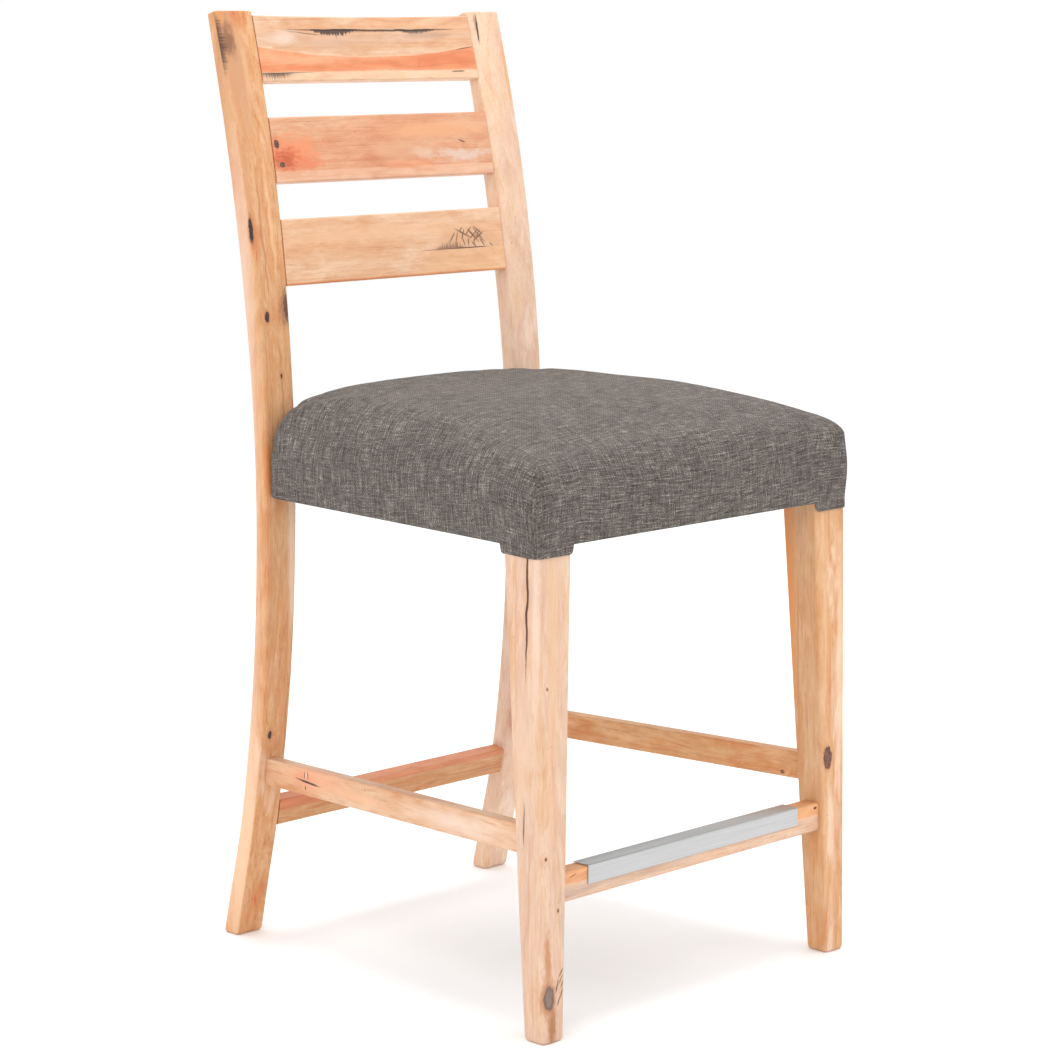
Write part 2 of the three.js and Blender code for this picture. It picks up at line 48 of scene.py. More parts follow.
# ------------------------------------------------------------------ camera
CAM_YAW, CAM_PITCH, CAM_ROLL = 0.7847905764, 0.1629644038, 0.0022026687
CAM_PLACE = Vector((-2.4042327, -2.4047070, 1.0430464))
cam_data = bpy.data.cameras.new("camera")
cam = bpy.data.objects.new("camera", cam_data)
scene.collection.objects.link(cam)
look = Vector((math.sin(CAM_YAW) * math.cos(CAM_PITCH), math.cos(CAM_YAW) * math.cos(CAM_PITCH), -math.sin(CAM_PITCH)))
level = Vector((math.cos(CAM_YAW), -math.sin(CAM_YAW), 0))
over = level.cross(look)
right = level * math.cos(CAM_ROLL) + over * math.sin(CAM_ROLL)
up = over * math.cos(CAM_ROLL) - level * math.sin(CAM_ROLL)
cam.matrix_world = Matrix((
    (right.x, up.x, -look.x, CAM_PLACE.x),
    (right.y, up.y, -look.y, CAM_PLACE.y),
    (right.z, up.z, -look.z, CAM_PLACE.z),
    (0, 0, 0, 1),
))
cam_data.sensor_width = 36.0
cam_data.lens = 105.015
cam_data.shift_x = 0.00701
cam_data.shift_y = -0.00392
cam_data.clip_end = 200
scene.camera = cam


# ------------------------------------------------------------------ node helpers
def lin(r, g, b):
    f = lambda c: (c / 255) / 12.92 if c <= 10.3 else (((c / 255) + 0.055) / 1.055) ** 2.4
    return (f(r), f(g), f(b), 1.0)


class Nodes:
    """Short ways to write shader nodes: every argument is a socket or a plain value."""

    def __init__(self, name):
        self.mat = bpy.data.materials.new(name)
        self.mat.use_nodes = True
        self.t = self.mat.node_tree
        self.t.nodes.clear()
        self.out = self.t.nodes.new("ShaderNodeOutputMaterial")
        self.bsdf = self.t.nodes.new("ShaderNodeBsdfPrincipled")
        self.t.links.new(self.bsdf.outputs[0], self.out.inputs["Surface"])

    def put(self, socket, value):
        if isinstance(value, bpy.types.NodeSocket):
            self.t.links.new(value, socket)
        elif value is not None:
            socket.default_value = value

    def math(self, op, a, b=None, c=None, clamp=False):
        n = self.t.nodes.new("ShaderNodeMath")
        n.operation = op
        n.use_clamp = clamp
        for s, v in zip(n.inputs, (a, b, c)):
            self.put(s, v)
        return n.outputs[0]

    def add(self, a, b):
        return self.math("ADD", a, b)

    def mul(self, a, b):
        return self.math("MULTIPLY", a, b)

    def vec(self, op, a, b=None, scale=None):
        n = self.t.nodes.new("ShaderNodeVectorMath")
        n.operation = op
        self.put(n.inputs[0], a)
        if b is not None:
            self.put(n.inputs[1], b)
        if scale is not None:
            self.put(n.inputs["Scale"], scale)
        return n.outputs["Value"] if op in ("LENGTH", "DOT_PRODUCT", "DISTANCE") else n.outputs[0]

    def xyz(self, v):
        n = self.t.nodes.new("ShaderNodeSeparateXYZ")
        self.put(n.inputs[0], v)
        return n.outputs[0], n.outputs[1], n.outputs[2]

    def join(self, x, y, z):
        n = self.t.nodes.new("ShaderNodeCombineXYZ")
        for s, v in zip(n.inputs, (x, y, z)):
            self.put(s, v)
        return n.outputs[0]

    def noise(self, v, detail=2.0, rough=0.5, distort=0.0, dims="3D", w=None, scale=1.0):
        n = self.t.nodes.new("ShaderNodeTexNoise")
        n.noise_dimensions = dims
        if v is not None:
            self.put(n.inputs["Vector"], v)
        if w is not None:
            self.put(n.inputs["W"], w)
        n.inputs["Scale"].default_value = scale
        n.inputs["Detail"].default_value = detail
        n.inputs["Roughness"].default_value = rough
        n.inputs["Distortion"].default_value = distort
        return n.outputs["Fac"]

    def cells(self, v, scale=1.0, feature="F1", rand=1.0, out="Distance"):
        n = self.t.nodes.new("ShaderNodeTexVoronoi")
        n.feature = feature
        self.put(n.inputs["Vector"], v)
        n.inputs["Scale"].default_value = scale
        n.inputs["Randomness"].default_value = rand
        return n.outputs[out]

    def range(self, v, a, b, c=0.0, d=1.0, smooth=True):
        n = self.t.nodes.new("ShaderNodeMapRange")
        n.interpolation_type = "SMOOTHSTEP" if smooth else "LINEAR"
        n.clamp = True
        self.put(n.inputs["Value"], v)
        for k, x in zip(("From Min", "From Max", "To Min", "To Max"), (a, b, c, d)):
            self.put(n.inputs[k], x)
        return n.outputs["Result"]

    def ramp(self, v, stops):
        n = self.t.nodes.new("ShaderNodeValToRGB")
        r = n.color_ramp
        while len(r.elements) < len(stops):
            r.elements.new(0.5)
        for e, (p, c) in zip(r.elements, stops):
            e.position = p
            e.color = c
        self.put(n.inputs[0], v)
        return n.outputs[0]

    def mix(self, f, a, b, mode="MIX"):
        n = self.t.nodes.new("ShaderNodeMix")
        n.data_type = "RGBA"
        n.blend_type = mode
        n.clamp_factor = True
        for s, v in zip([n.inputs[0], n.inputs[6], n.inputs[7]], (f, a, b)):
            self.put(s, v)
        return n.outputs[2]

    def mapped(self, v, place, turn, size):
        """v seen from a frame at place, turned by turn and measured in size: the unit ball is the mark"""
        n = self.t.nodes.new("ShaderNodeMapping")
        n.vector_type = "TEXTURE"
        self.put(n.inputs["Vector"], v)
        n.inputs["Location"].default_value = place
        n.inputs["Rotation"].default_value = turn
        n.inputs["Scale"].default_value = size
        return n.outputs[0]

    def position(self):
        n = self.t.nodes.new("ShaderNodeTexCoord")
        return self.vec("SCALE", n.outputs["Object"], scale=1000.0)

    def bump(self, height, strength=0.5, distance=0.0005, normal=None):
        n = self.t.nodes.new("ShaderNodeBump")
        n.inputs["Strength"].default_value = strength
        n.inputs["Distance"].default_value = distance
        self.put(n.inputs["Height"], height)
        if normal is not None:
            self.put(n.inputs["Normal"], normal)
        self.put(self.bsdf.inputs["Normal"], n.outputs[0])
        return n.outputs[0]


# ------------------------------------------------------------------ timber
CREAM, SAND, PINK = lin(247, 214, 186), lin(236, 190, 146), lin(238, 203, 180)
HONEY, ORANGE, RED = lin(229, 168, 112), lin(240, 160, 110), lin(226, 132, 84)
GREY, BROWN, DARK, BLACK = lin(214, 186, 170), lin(140, 92, 62), lin(78, 48, 36), lin(38, 26, 22)

PALETTES = {
    "pale": [(0.0, SAND), (0.36, CREAM), (0.56, PINK), (0.72, CREAM), (1.0, GREY)],
    "pink": [(0.0, HONEY), (0.3, SAND), (0.5, PINK), (0.72, CREAM), (1.0, SAND)],
    "honey": [(0.0, RED), (0.26, HONEY), (0.5, SAND), (0.7, HONEY), (1.0, CREAM)],
    "orange": [(0.0, RED), (0.3, ORANGE), (0.55, HONEY), (0.75, ORANGE), (1.0, PINK)],
    "cream": [(0.0, lin(244, 204, 172)), (0.3, CREAM), (0.5, PINK), (0.75, lin(252, 226, 206)), (1.0, PINK)],
    "blush": [(0.0, HONEY), (0.3, lin(238, 190, 152)), (0.5, lin(240, 198, 162)), (0.72, CREAM), (1.0, lin(232, 178, 140))],
    "rose": [(0.0, lin(232, 160, 120)), (0.3, lin(238, 176, 140)), (0.5, lin(240, 184, 148)), (0.72, lin(242, 196, 164)), (1.0, lin(234, 170, 130))],
    "tan": [(0.0, HONEY), (0.4, SAND), (0.62, HONEY), (1.0, CREAM)],
}


CALM = {"rear_post_right": 0.45, "back_rail_lower": 0.6, "front_leg_left": 0.8}


def timber(name, axis, seed, palette, marks=(), period=7.0, fleck=0.5, contrast=1.0, gain=(1.0, 1.0, 1.0)):
    g = Nodes(name)
    p = g.position()
    x, y, z = g.xyz(p)
    u, v, w = {"Z": (x, y, z), "X": (y, z, x), "Y": (x, z, y)}[axis]
    q = g.vec("ADD", g.join(u, v, w), (seed * 137.3, seed * 71.9, seed * 313.7))

    def stretched(a, b, c, **k):
        return g.noise(g.vec("MULTIPLY", q, (1 / a, 1 / b, 1 / c)), **k)

    warp = g.add(stretched(46, 46, 260, detail=2), -0.5)
    # grain flows round each knot
    swirl = None
    for m in marks:
        if m.get("swirl"):
            r = m["swirl"]
            d = g.vec("LENGTH", g.mapped(p, m["at"], m.get("turn", (0, 0, 0)), r))
            s = g.mul(g.math("POWER", 2.718, g.mul(g.mul(d, d), -1.0)), m.get("push", 1.4))
            swirl = s if swirl is None else g.add(swirl, s)
    along = g.add(g.mul(u, math.cos(seed) / period), g.mul(v, math.sin(seed) / period))
    ring = g.add(along, g.mul(warp, 8.0))
    if swirl is not None:
        ring = g.add(ring, swirl)
    rings = g.noise(None, detail=3.0, rough=0.62, dims="1D", w=ring)
    broad = stretched(34, 34, 420, detail=2.5, rough=0.5, distort=0.5)
    patch = stretched(70, 70, 150, detail=2.5, distort=0.6)
    mottle = stretched(13, 13, 44, detail=3, rough=0.55, distort=0.7)
    streak = stretched(3.0, 3.0, 150, detail=3, rough=0.6, distort=0.3)
    fibre = stretched(1.3, 1.3, 34, detail=3, rough=0.6)
    fine = stretched(0.6, 0.6, 9, detail=2, rough=0.5)
    pore = stretched(0.9, 0.9, 8, detail=1)

    tone = g.add(g.mul(g.add(broad, -0.5), 1.7 * contrast), g.mul(g.add(rings, -0.5), 0.6 * contrast))
    tone = g.add(tone, g.mul(g.add(patch, -0.5), 1.3))
    tone = g.add(tone, g.mul(g.add(mottle, -0.5), 0.5))
    if swirl is not None:
        tone = g.add(tone, g.mul(swirl, -0.12))
    tone = g.math("ADD", tone, 0.5, clamp=True)
    col = g.ramp(tone, PALETTES[palette])
    col = g.mix(g.range(rings, 0.54, 0.76, 0.0, 0.3 * contrast), col, lin(232, 186, 146), "MULTIPLY")
    col = g.mix(g.range(streak, 0.52, 0.72, 0.0, 0.42 * contrast), col, lin(222, 164, 120), "MULTIPLY")
    col = g.mix(1.0, col, g.ramp(mottle, [(0.3, lin(245, 236, 228)), (0.6, lin(255, 255, 255))]), "MULTIPLY")
    col = g.mix(1.0, col, g.ramp(fibre, [(0.25, lin(242, 234, 226)), (0.75, lin(255, 255, 255))]), "MULTIPLY")
    col = g.mix(1.0, col, g.ramp(fine, [(0.3, lin(244, 238, 232)), (0.7, lin(255, 255, 255))]), "MULTIPLY")
    pores = g.range(pore, 0.69, 0.77)
    col = g.mix(g.mul(pores, 0.4), col, BROWN)
    # pinholes and small flecks
    hole = g.cells(g.vec("MULTIPLY", q, (1 / 24, 1 / 24, 1 / 38)), out="Distance")
    holes = g.range(hole, 0.026, 0.046, 1.0, 0.0)
    col = g.mix(g.mul(holes, fleck), col, DARK)
    deep = g.mul(holes, 0.8)
    wander = g.add(g.noise(g.vec("MULTIPLY", q, (1 / 60, 1 / 60, 1 / 26)), detail=2), -0.5)

    for m in marks:
        at, turn, size = m["at"], m.get("turn", (0, 0, 0)), m["size"]
        kind = m["kind"]
        seen = p
        if m.get("wander"):
            k = g.mul(wander, m["wander"])
            seen = g.vec("ADD", p, g.join(0.0 if axis == "X" else k, 0.0 if axis == "Y" else k, 0.0 if axis == "Z" else k))
        local = g.mapped(seen, at, turn, size)
        d = g.vec("LENGTH", local)
        rough = g.mul(g.add(stretched(m.get("grit", 3.0), m.get("grit", 3.0), m.get("grit", 3.0) * 2.4, detail=2.5), -0.5), m.get("rough", 0.7))
        e = g.add(d, rough)
        if kind == "knot":
            halo = g.range(e, 0.9, m.get("halo", 2.0), 0.75, 0.0)
            col = g.mix(halo, col, m.get("halo_color", HONEY))
            core = g.range(e, 0.86, 1.04, 1.0, 0.0)
            rim = g.mul(core, g.range(e, 0.55, 0.95, 0.0, 1.0))
            blot = stretched(2.4, 2.4, 4.0, detail=3, rough=0.65)
            inside = g.mix(g.range(blot, 0.36, 0.64), m.get("color", BROWN), m.get("second", DARK))
            col = g.mix(g.mul(core, m.get("strength", 1.0)), col, inside)
            col = g.mix(g.mul(rim, 0.55), col, DARK)
            deep = g.add(deep, g.mul(rim, 0.5))
        elif kind == "crack":
            core = g.range(e, 0.5, 1.05, m.get("strength", 0.95), 0.0)
            col = g.mix(core, col, m.get("color", DARK))
            deep = g.add(deep, core)
        elif kind == "stain":
            core = g.range(e, 0.3, 1.15, m.get("strength", 0.6), 0.0)
            col = g.mix(core, col, m.get("color", HONEY))
        elif kind == "board":
            # a lamination or a heartwood edge: everything on one side of a plane through at, facing the local x
            lx, _, _ = g.xyz(local)
            side = g.range(g.add(lx, g.mul(rough, m.get("wave", 0.0))), -m.get("soft", 0.5), m.get("soft", 0.5), m.get("strength", 0.6), 0.0)
            if m.get("until"):
                axis_at, a, b = m["until"]
                side = g.mul(side, g.range({"x": x, "y": y, "z": z}[axis_at], a, b))
            col = g.mix(side, col, m.get("color", ORANGE), m.get("mode", "MIX"))
        elif kind == "strokes":
            lines = None
            for ax, az, bx, bz, wide in m["lines"]:
                long = math.hypot(bx - ax, bz - az) / 2
                slope = -math.atan2(bz - az, bx - ax)
                one = g.vec("LENGTH", g.mapped(seen, ((ax + bx) / 2, at[1], (az + bz) / 2), (0, slope, 0), (long * 1.15, 14, wide * m.get("weight", 1.0))))
                one = g.range(one, 0.45, 1.0, 1.0, 0.0)
                lines = one if lines is None else g.math("MAXIMUM", lines, one)
            core = g.mul(lines, g.range(fibre, 0.25, 0.6, 0.55, 1.0))
            core = g.mul(core, m.get("strength", 0.7))
            col = g.mix(core, col, m.get("color", BROWN))
        elif kind == "band":
            # between two curves that follow the length of the piece, each a quadratic in x / 165
            sx = g.mul(x, 1 / 165)
            def curve(c):
                return g.add(g.add(g.mul(sx, c[1]), g.mul(g.mul(sx, sx), c[2])), g.add(g.mul(wander, m.get("wave", 0.0)), c[0]))
            lo = g.range(g.math("SUBTRACT", z, curve(m["low"])), -m.get("soft", 0.6), m.get("soft", 0.6))
            hi = g.range(g.math("SUBTRACT", curve(m["high"]), z), -m.get("soft", 0.6), m.get("soft", 0.6))
            core = g.mul(g.mul(lo, hi), m.get("strength", 0.8))
            if m.get("ends"):
                a, b, c, e_ = m["ends"]
                core = g.mul(core, g.mul(g.range(x, a, b), g.range(x, c, e_, 1.0, 0.0)))
            tint = g.mix(g.range(rings, 0.35, 0.7), m["color"], m.get("second", m["color"]))
            tint = g.mix(1.0, tint, g.ramp(mottle, [(0.3, lin(240, 228, 220)), (0.6, lin(255, 255, 255))]), "MULTIPLY")
            col = g.mix(core, col, tint)
        elif kind == "fringe":
            # a dark line with short runs hanging from it: at the middle of the line, half its half length, depth the longest run
            run, sign, depth, half = m["run"], m["sign"], m["depth"], m["half"]
            a_, b_ = (x, z) if run == "x" else (z, x)
            a0, b0 = (at[0], at[2]) if run == "x" else (at[2], at[0])
            off = g.mul(g.add(b_, -b0), sign)
            off = g.add(off, g.mul(wander, m.get("wave", 1.5)))
            pos = g.mul(g.add(a_, -a0), 1 / half)
            env = g.math("SUBTRACT", 1.0, g.mul(pos, pos), clamp=True)
            tooth = g.noise(g.join(g.mul(a_, 1 / m.get("tooth", 2.2)), g.mul(off, 1 / 60), float(at[0])), detail=2.0, rough=0.7)
            reach = g.mul(g.mul(env, depth), g.range(tooth, 0.3, 0.72, m.get("least", 0.12), 1.25, smooth=False))
            core = g.mul(g.range(g.math("SUBTRACT", reach, off), -0.5, m.get("fade", 0.9) * (1.0 + 0.35 * m["depth"] / 4.0)), g.range(off, -m.get("line", 0.9), -m.get("line", 0.9) + 0.7))
            core = g.mul(core, g.range(env, 0.0, 0.12))
            if m.get("front"):
                y0, z0, k = m["front"]
                back = g.math("SUBTRACT", y, g.add(g.mul(g.add(z, -z0), k), y0))
                core = g.mul(core, g.range(back, 2.5, 4.5, 1.0, 0.0))
            col = g.mix(g.mul(core, m.get("strength", 0.9)), col, m.get("color", BLACK))
            deep = g.add(deep, g.mul(core, 0.7))

    col = g.vec("MULTIPLY", col, gain)
    g.put(g.bsdf.inputs["Base Color"], col)
    g.put(g.bsdf.inputs["Roughness"], g.range(fibre, 0.2, 0.8, 0.5, 0.4))
    g.bsdf.inputs["Specular IOR Level"].default_value = 0.42
    height = g.add(g.mul(fibre, 0.32), g.mul(fine, 0.16))
    height = g.add(height, g.mul(pores, -0.5))
    height = g.add(height, g.mul(deep, -1.3))
    g.bump(height, 0.42, 0.00035)
    return g.mat


# ------------------------------------------------------------------ mesh helpers
def make(name, verts, faces, material, stands_for=(), smooth=True, sharp=50):
    me = bpy.data.meshes.new(name)
    me.from_pydata([tuple(float(c) * MM for c in v) for v in verts], [], faces)
    me.validate()
    me.update()
    if smooth:
        me.polygons.foreach_set("use_smooth", [True] * len(me.polygons))
        me.set_sharp_from_angle(angle=math.radians(sharp))
    ob = bpy.data.objects.new(name, me)
    scene.collection.objects.link(ob)
    me.materials.append(material)
    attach(ob, "root")
    if stands_for:
        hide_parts(*stands_for)
    return ob


def rect_ring(a0, a1, b0, b1, r, na=5, nb=4, nc=5, edge=0.7):
    """rounded rectangle with a support point beside each corner; runs anticlockwise from the +a, +b corner"""
    pts = []
    corners = [((a1 - r), (b1 - r), 0), ((a0 + r), (b1 - r), 90), ((a0 + r), (b0 + r), 180), ((a1 - r), (b0 + r), 270)]
    arcs = []
    for ca, cb, s in corners:
        arcs.append([(ca + r * math.cos(math.radians(s + 90 * k / nc)), cb + r * math.sin(math.radians(s + 90 * k / nc))) for k in range(nc + 1)])
    for i in range(4):
        pts += arcs[i]
        p, q = np.array(arcs[i][-1]), np.array(arcs[(i + 1) % 4][0])
        n = (na, nb, na, nb)[i]
        length = np.linalg.norm(q - p)
        f = min(edge / max(length, 1e-6), 0.2)
        for t in [f] + [f + (1 - 2 * f) * k / n for k in range(1, n)] + [1 - f]:
            pts.append(tuple(p + (q - p) * t))
    return pts


def loft(rings):
    n, k = len(rings), len(rings[0])
    verts = [v for ring in rings for v in ring]
    faces = []
    for i in range(n - 1):
        for j in range(k):
            a, b = i * k + j, i * k + (j + 1) % k
            faces.append((a, b, b + k, a + k))
    faces.append(tuple(reversed(range(k))))
    faces.append(tuple(range((n - 1) * k, n * k)))
    return verts, faces


def outward(verts, faces):
    v = np.array(verts, float)
    vol = 0.0
    for f in faces:
        for i in range(1, len(f) - 1):
            vol += np.dot(v[f[0]], np.cross(v[f[i]], v[f[i + 1]]))
    return faces if vol > 0 else [tuple(reversed(f)) for f in faces]


def ripple(verts, amount=0.16, span=70.0, seed=0.0):
    """the slight unevenness a planed and sanded surface keeps"""
    out = []
    for v in verts:
        s = noise.noise_vector(Vector((v[0] / span + seed, v[1] / span, v[2] / (span * 2.2))))
        out.append((v[0] + s.x * amount, v[1] + s.y * amount, v[2]))
    return out


def curve_through(xs, ys):
    xs, ys = np.array(xs, float), np.array(ys, float)
    h = np.diff(xs)
    s = np.diff(ys) / h
    m = np.r_[s[0], (s[:-1] * h[1:] + s[1:] * h[:-1]) / (h[1:] + h[:-1]), s[-1]]

    def at(x):
        x = float(np.clip(x, xs[0], xs[-1]))
        i = int(np.clip(np.searchsorted(xs, x) - 1, 0, len(h) - 1))
        t = (x - xs[i]) / h[i]
        return float((2 * t**3 - 3 * t**2 + 1) * ys[i] + (t**3 - 2 * t**2 + t) * h[i] * m[i] + (3 * t**2 - 2 * t**3) * ys[i + 1] + (t**3 - t**2) * h[i] * m[i + 1])

    return at


# ------------------------------------------------------------------ timber shapes
DY = 0.45
HEIGHT = 1050.0
POST_Z = [0, 60, 130, 200, 270, 350, 430, 520, 600, 680, 760, 840, 920, 990, 1050]
post_front = curve_through(POST_Z, [DY + v for v in [243.3, 230.5, 214.9, 203.0, 193.8, 186.7, 183.1, 182.0, 184.5, 190.4, 199.6, 212.0, 227.9, 244.8, 260.7]])
post_depth = curve_through(POST_Z, [24.6, 23.2, 22.0, 21.9, 21.8, 21.2, 20.7, 20.6, 21.0, 21.7, 22.2, 21.8, 20.4, 18.4, 15.8])
post_inner = curve_through([0, 200, 400, 520, 640, 760, 920, 1050], [180.2, 178.8, 175.8, 174.2, 172.9, 171.0, 167.6, 165.2])
POST_OUTER = 218.0
leg_inner = lambda z: 212.4 + (191.0 - 212.4) * z / 566
leg_front = lambda z: DY - 276.0 + 12.5 * z / 566
leg_back = lambda z: DY - 246.2 + 33.3 * z / 566
LEG_OUTER = 242.6
# the round-over at the foot: height above the floor and how far the section is drawn in
FOOT = [(0.0, 3.6), (0.25, 2.5), (0.9, 1.45), (1.9, 0.65), (3.2, 0.16), (4.6, 0.0)]


def post_mesh(side):
    levels = FOOT + [(z, 0.0) for z in np.linspace(12, HEIGHT - 10, 112)]
    levels += [(HEIGHT - 3.2, 0.0), (HEIGHT - 1.4, 0.0), (HEIGHT - 0.4, 0.5), (HEIGHT, 1.3)]
    rings = []
    for z, inset in levels:
        f, b = post_front(z), post_front(z) + post_depth(z)
        ring = rect_ring(post_inner(z) + inset, POST_OUTER - inset, f + inset, b - inset, 3.4 - 0.3 * inset, na=6, nb=3)
        tilt = max(0.0, (z - (HEIGHT - 14)) / 14)
        out = []
        for x, y in ring:
            fall = 0.26 * (y - f) * tilt
            out.append((side * x, y - 0.25 * fall, z - fall))
        rings.append(out)
    v, f = loft(rings)
    return ripple(v, seed=3.0 + side), outward(v, f)


def leg_mesh(side):
    levels = FOOT + [(z, 0.0) for z in np.linspace(12, 560, 56)] + [(566.0, 0.0)]
    rings = []
    for z, inset in levels:
        r = 4.6 + (3.4 - 4.6) * min(z / 150, 1)
        rings.append([(side * x, y, z) for x, y in rect_ring(leg_inner(z) + inset, LEG_OUTER - inset, leg_front(z) + inset, leg_back(z) - inset, r, na=5, nb=5)])
    v, f = loft(rings)
    return ripple(v, seed=9.0 + side), outward(v, f)


def cross_mesh(ring_at, half_at, steps=44, round_end=0.0):
    """a piece running along X between two side faces; ring_at(t) gives (y, z) points, half_at(z) the half length"""
    rings = []
    for t in np.linspace(-1, 1, steps + 1):
        rings.append([(t * half_at(z), y, z) for y, z in ring_at(t)])
    v, f = loft(rings)
    return v, outward(v, f)


def slat_ring(z0, z1, thick, r, t, dip=0.0):
    """section of a slat that lies in line with the fronts of the posts"""
    z1 = z1 - dip * (1 - t * t)
    y0, y1 = post_front(z0), post_front(z1)
    h = math.hypot(y1 - y0, z1 - z0)
    uy, uz = (y1 - y0) / h, (z1 - z0) / h
    out = []
    for a, b in rect_ring(0, h, 0, thick, r, na=8, nb=3):
        out.append((y0 + 0.4 + uy * a + uz * b, z0 + uz * a - uy * b))
    return out


def side_mesh(side):
    rear = (198.4, 199.0)
    frnt = (224.2, 209.0)
    rings = []
    for t in np.linspace(0, 1, 56):
        x, z = rear[0] + (frnt[0] - rear[0]) * t, rear[1] + (frnt[1] - rear[1]) * t
        ring = []
        for a, b in rect_ring(-8, 8, -15.4, 15.4, 1.6, na=3, nb=5):
            zz = z + b
            y0, y1 = post_front(rear[1] + b) - 0.3, leg_back(frnt[1] + b) + 0.3
            ring.append((side * (x + a), y0 + (y1 - y0) * t, zz))
        rings.append(ring)
    v, f = loft(rings)
    return ripple(v, 0.12, 50, 5.0 + side), outward(v, f)


# ------------------------------------------------------------------ marks in the timber, one list for each piece
def knot(at, size, **k):
    base = {"kind": "knot", "at": at, "size": size, "swirl": tuple(s * 2.6 for s in size)}
    base.update(k)
    return base


def crack(at, size, turn=(0, 0, 0), **k):
    base = {"kind": "crack", "at": at, "size": size, "turn": turn}
    base.update(k)
    return base


def stain(at, size, color, **k):
    base = {"kind": "stain", "at": at, "size": size, "color": color}
    base.update(k)
    return base


POST_FACE = (251.6, 1015.0, 0.262)
HATCH = [
    (91.1, 799.8, 120.6, 786.7, 0.75), (106.3, 800.6, 100.0, 795.1, 0.7), (109.0, 799.3, 102.7, 785.4, 0.7), (93.8, 795.5, 82.2, 781.9, 0.7),
    (120.6, 801.0, 142.1, 779.5, 0.75), (140.3, 794.4, 120.6, 783.1, 1.0), (122.4, 801.5, 138.5, 790.4, 0.7), (120.6, 801.0, 109.0, 789.8, 0.7),
    (113.5, 798.4, 126.0, 787.6, 0.7), (131.3, 787.2, 140.3, 776.4, 0.7), (113.8, 788.3, 113.5, 776.9, 0.7), (106.7, 795.9, 103.6, 785.4, 0.7),
    (95.9, 784.0, 93.8, 777.0, 0.8), (118.8, 783.2, 126.0, 776.6, 0.9), (147.5, 780.3, 153.2, 776.8, 0.6), (134.9, 797.1, 126.0, 787.6, 0.6),
    (110.6, 800.2, 132.0, 780.6, 0.6), (131.5, 797.6, 114.0, 784.6, 0.6), (98.8, 797.6, 92.0, 779.0, 0.55), (104.0, 789.0, 108.5, 777.0, 0.6),
    (127.0, 794.0, 121.5, 777.5, 0.55),
]
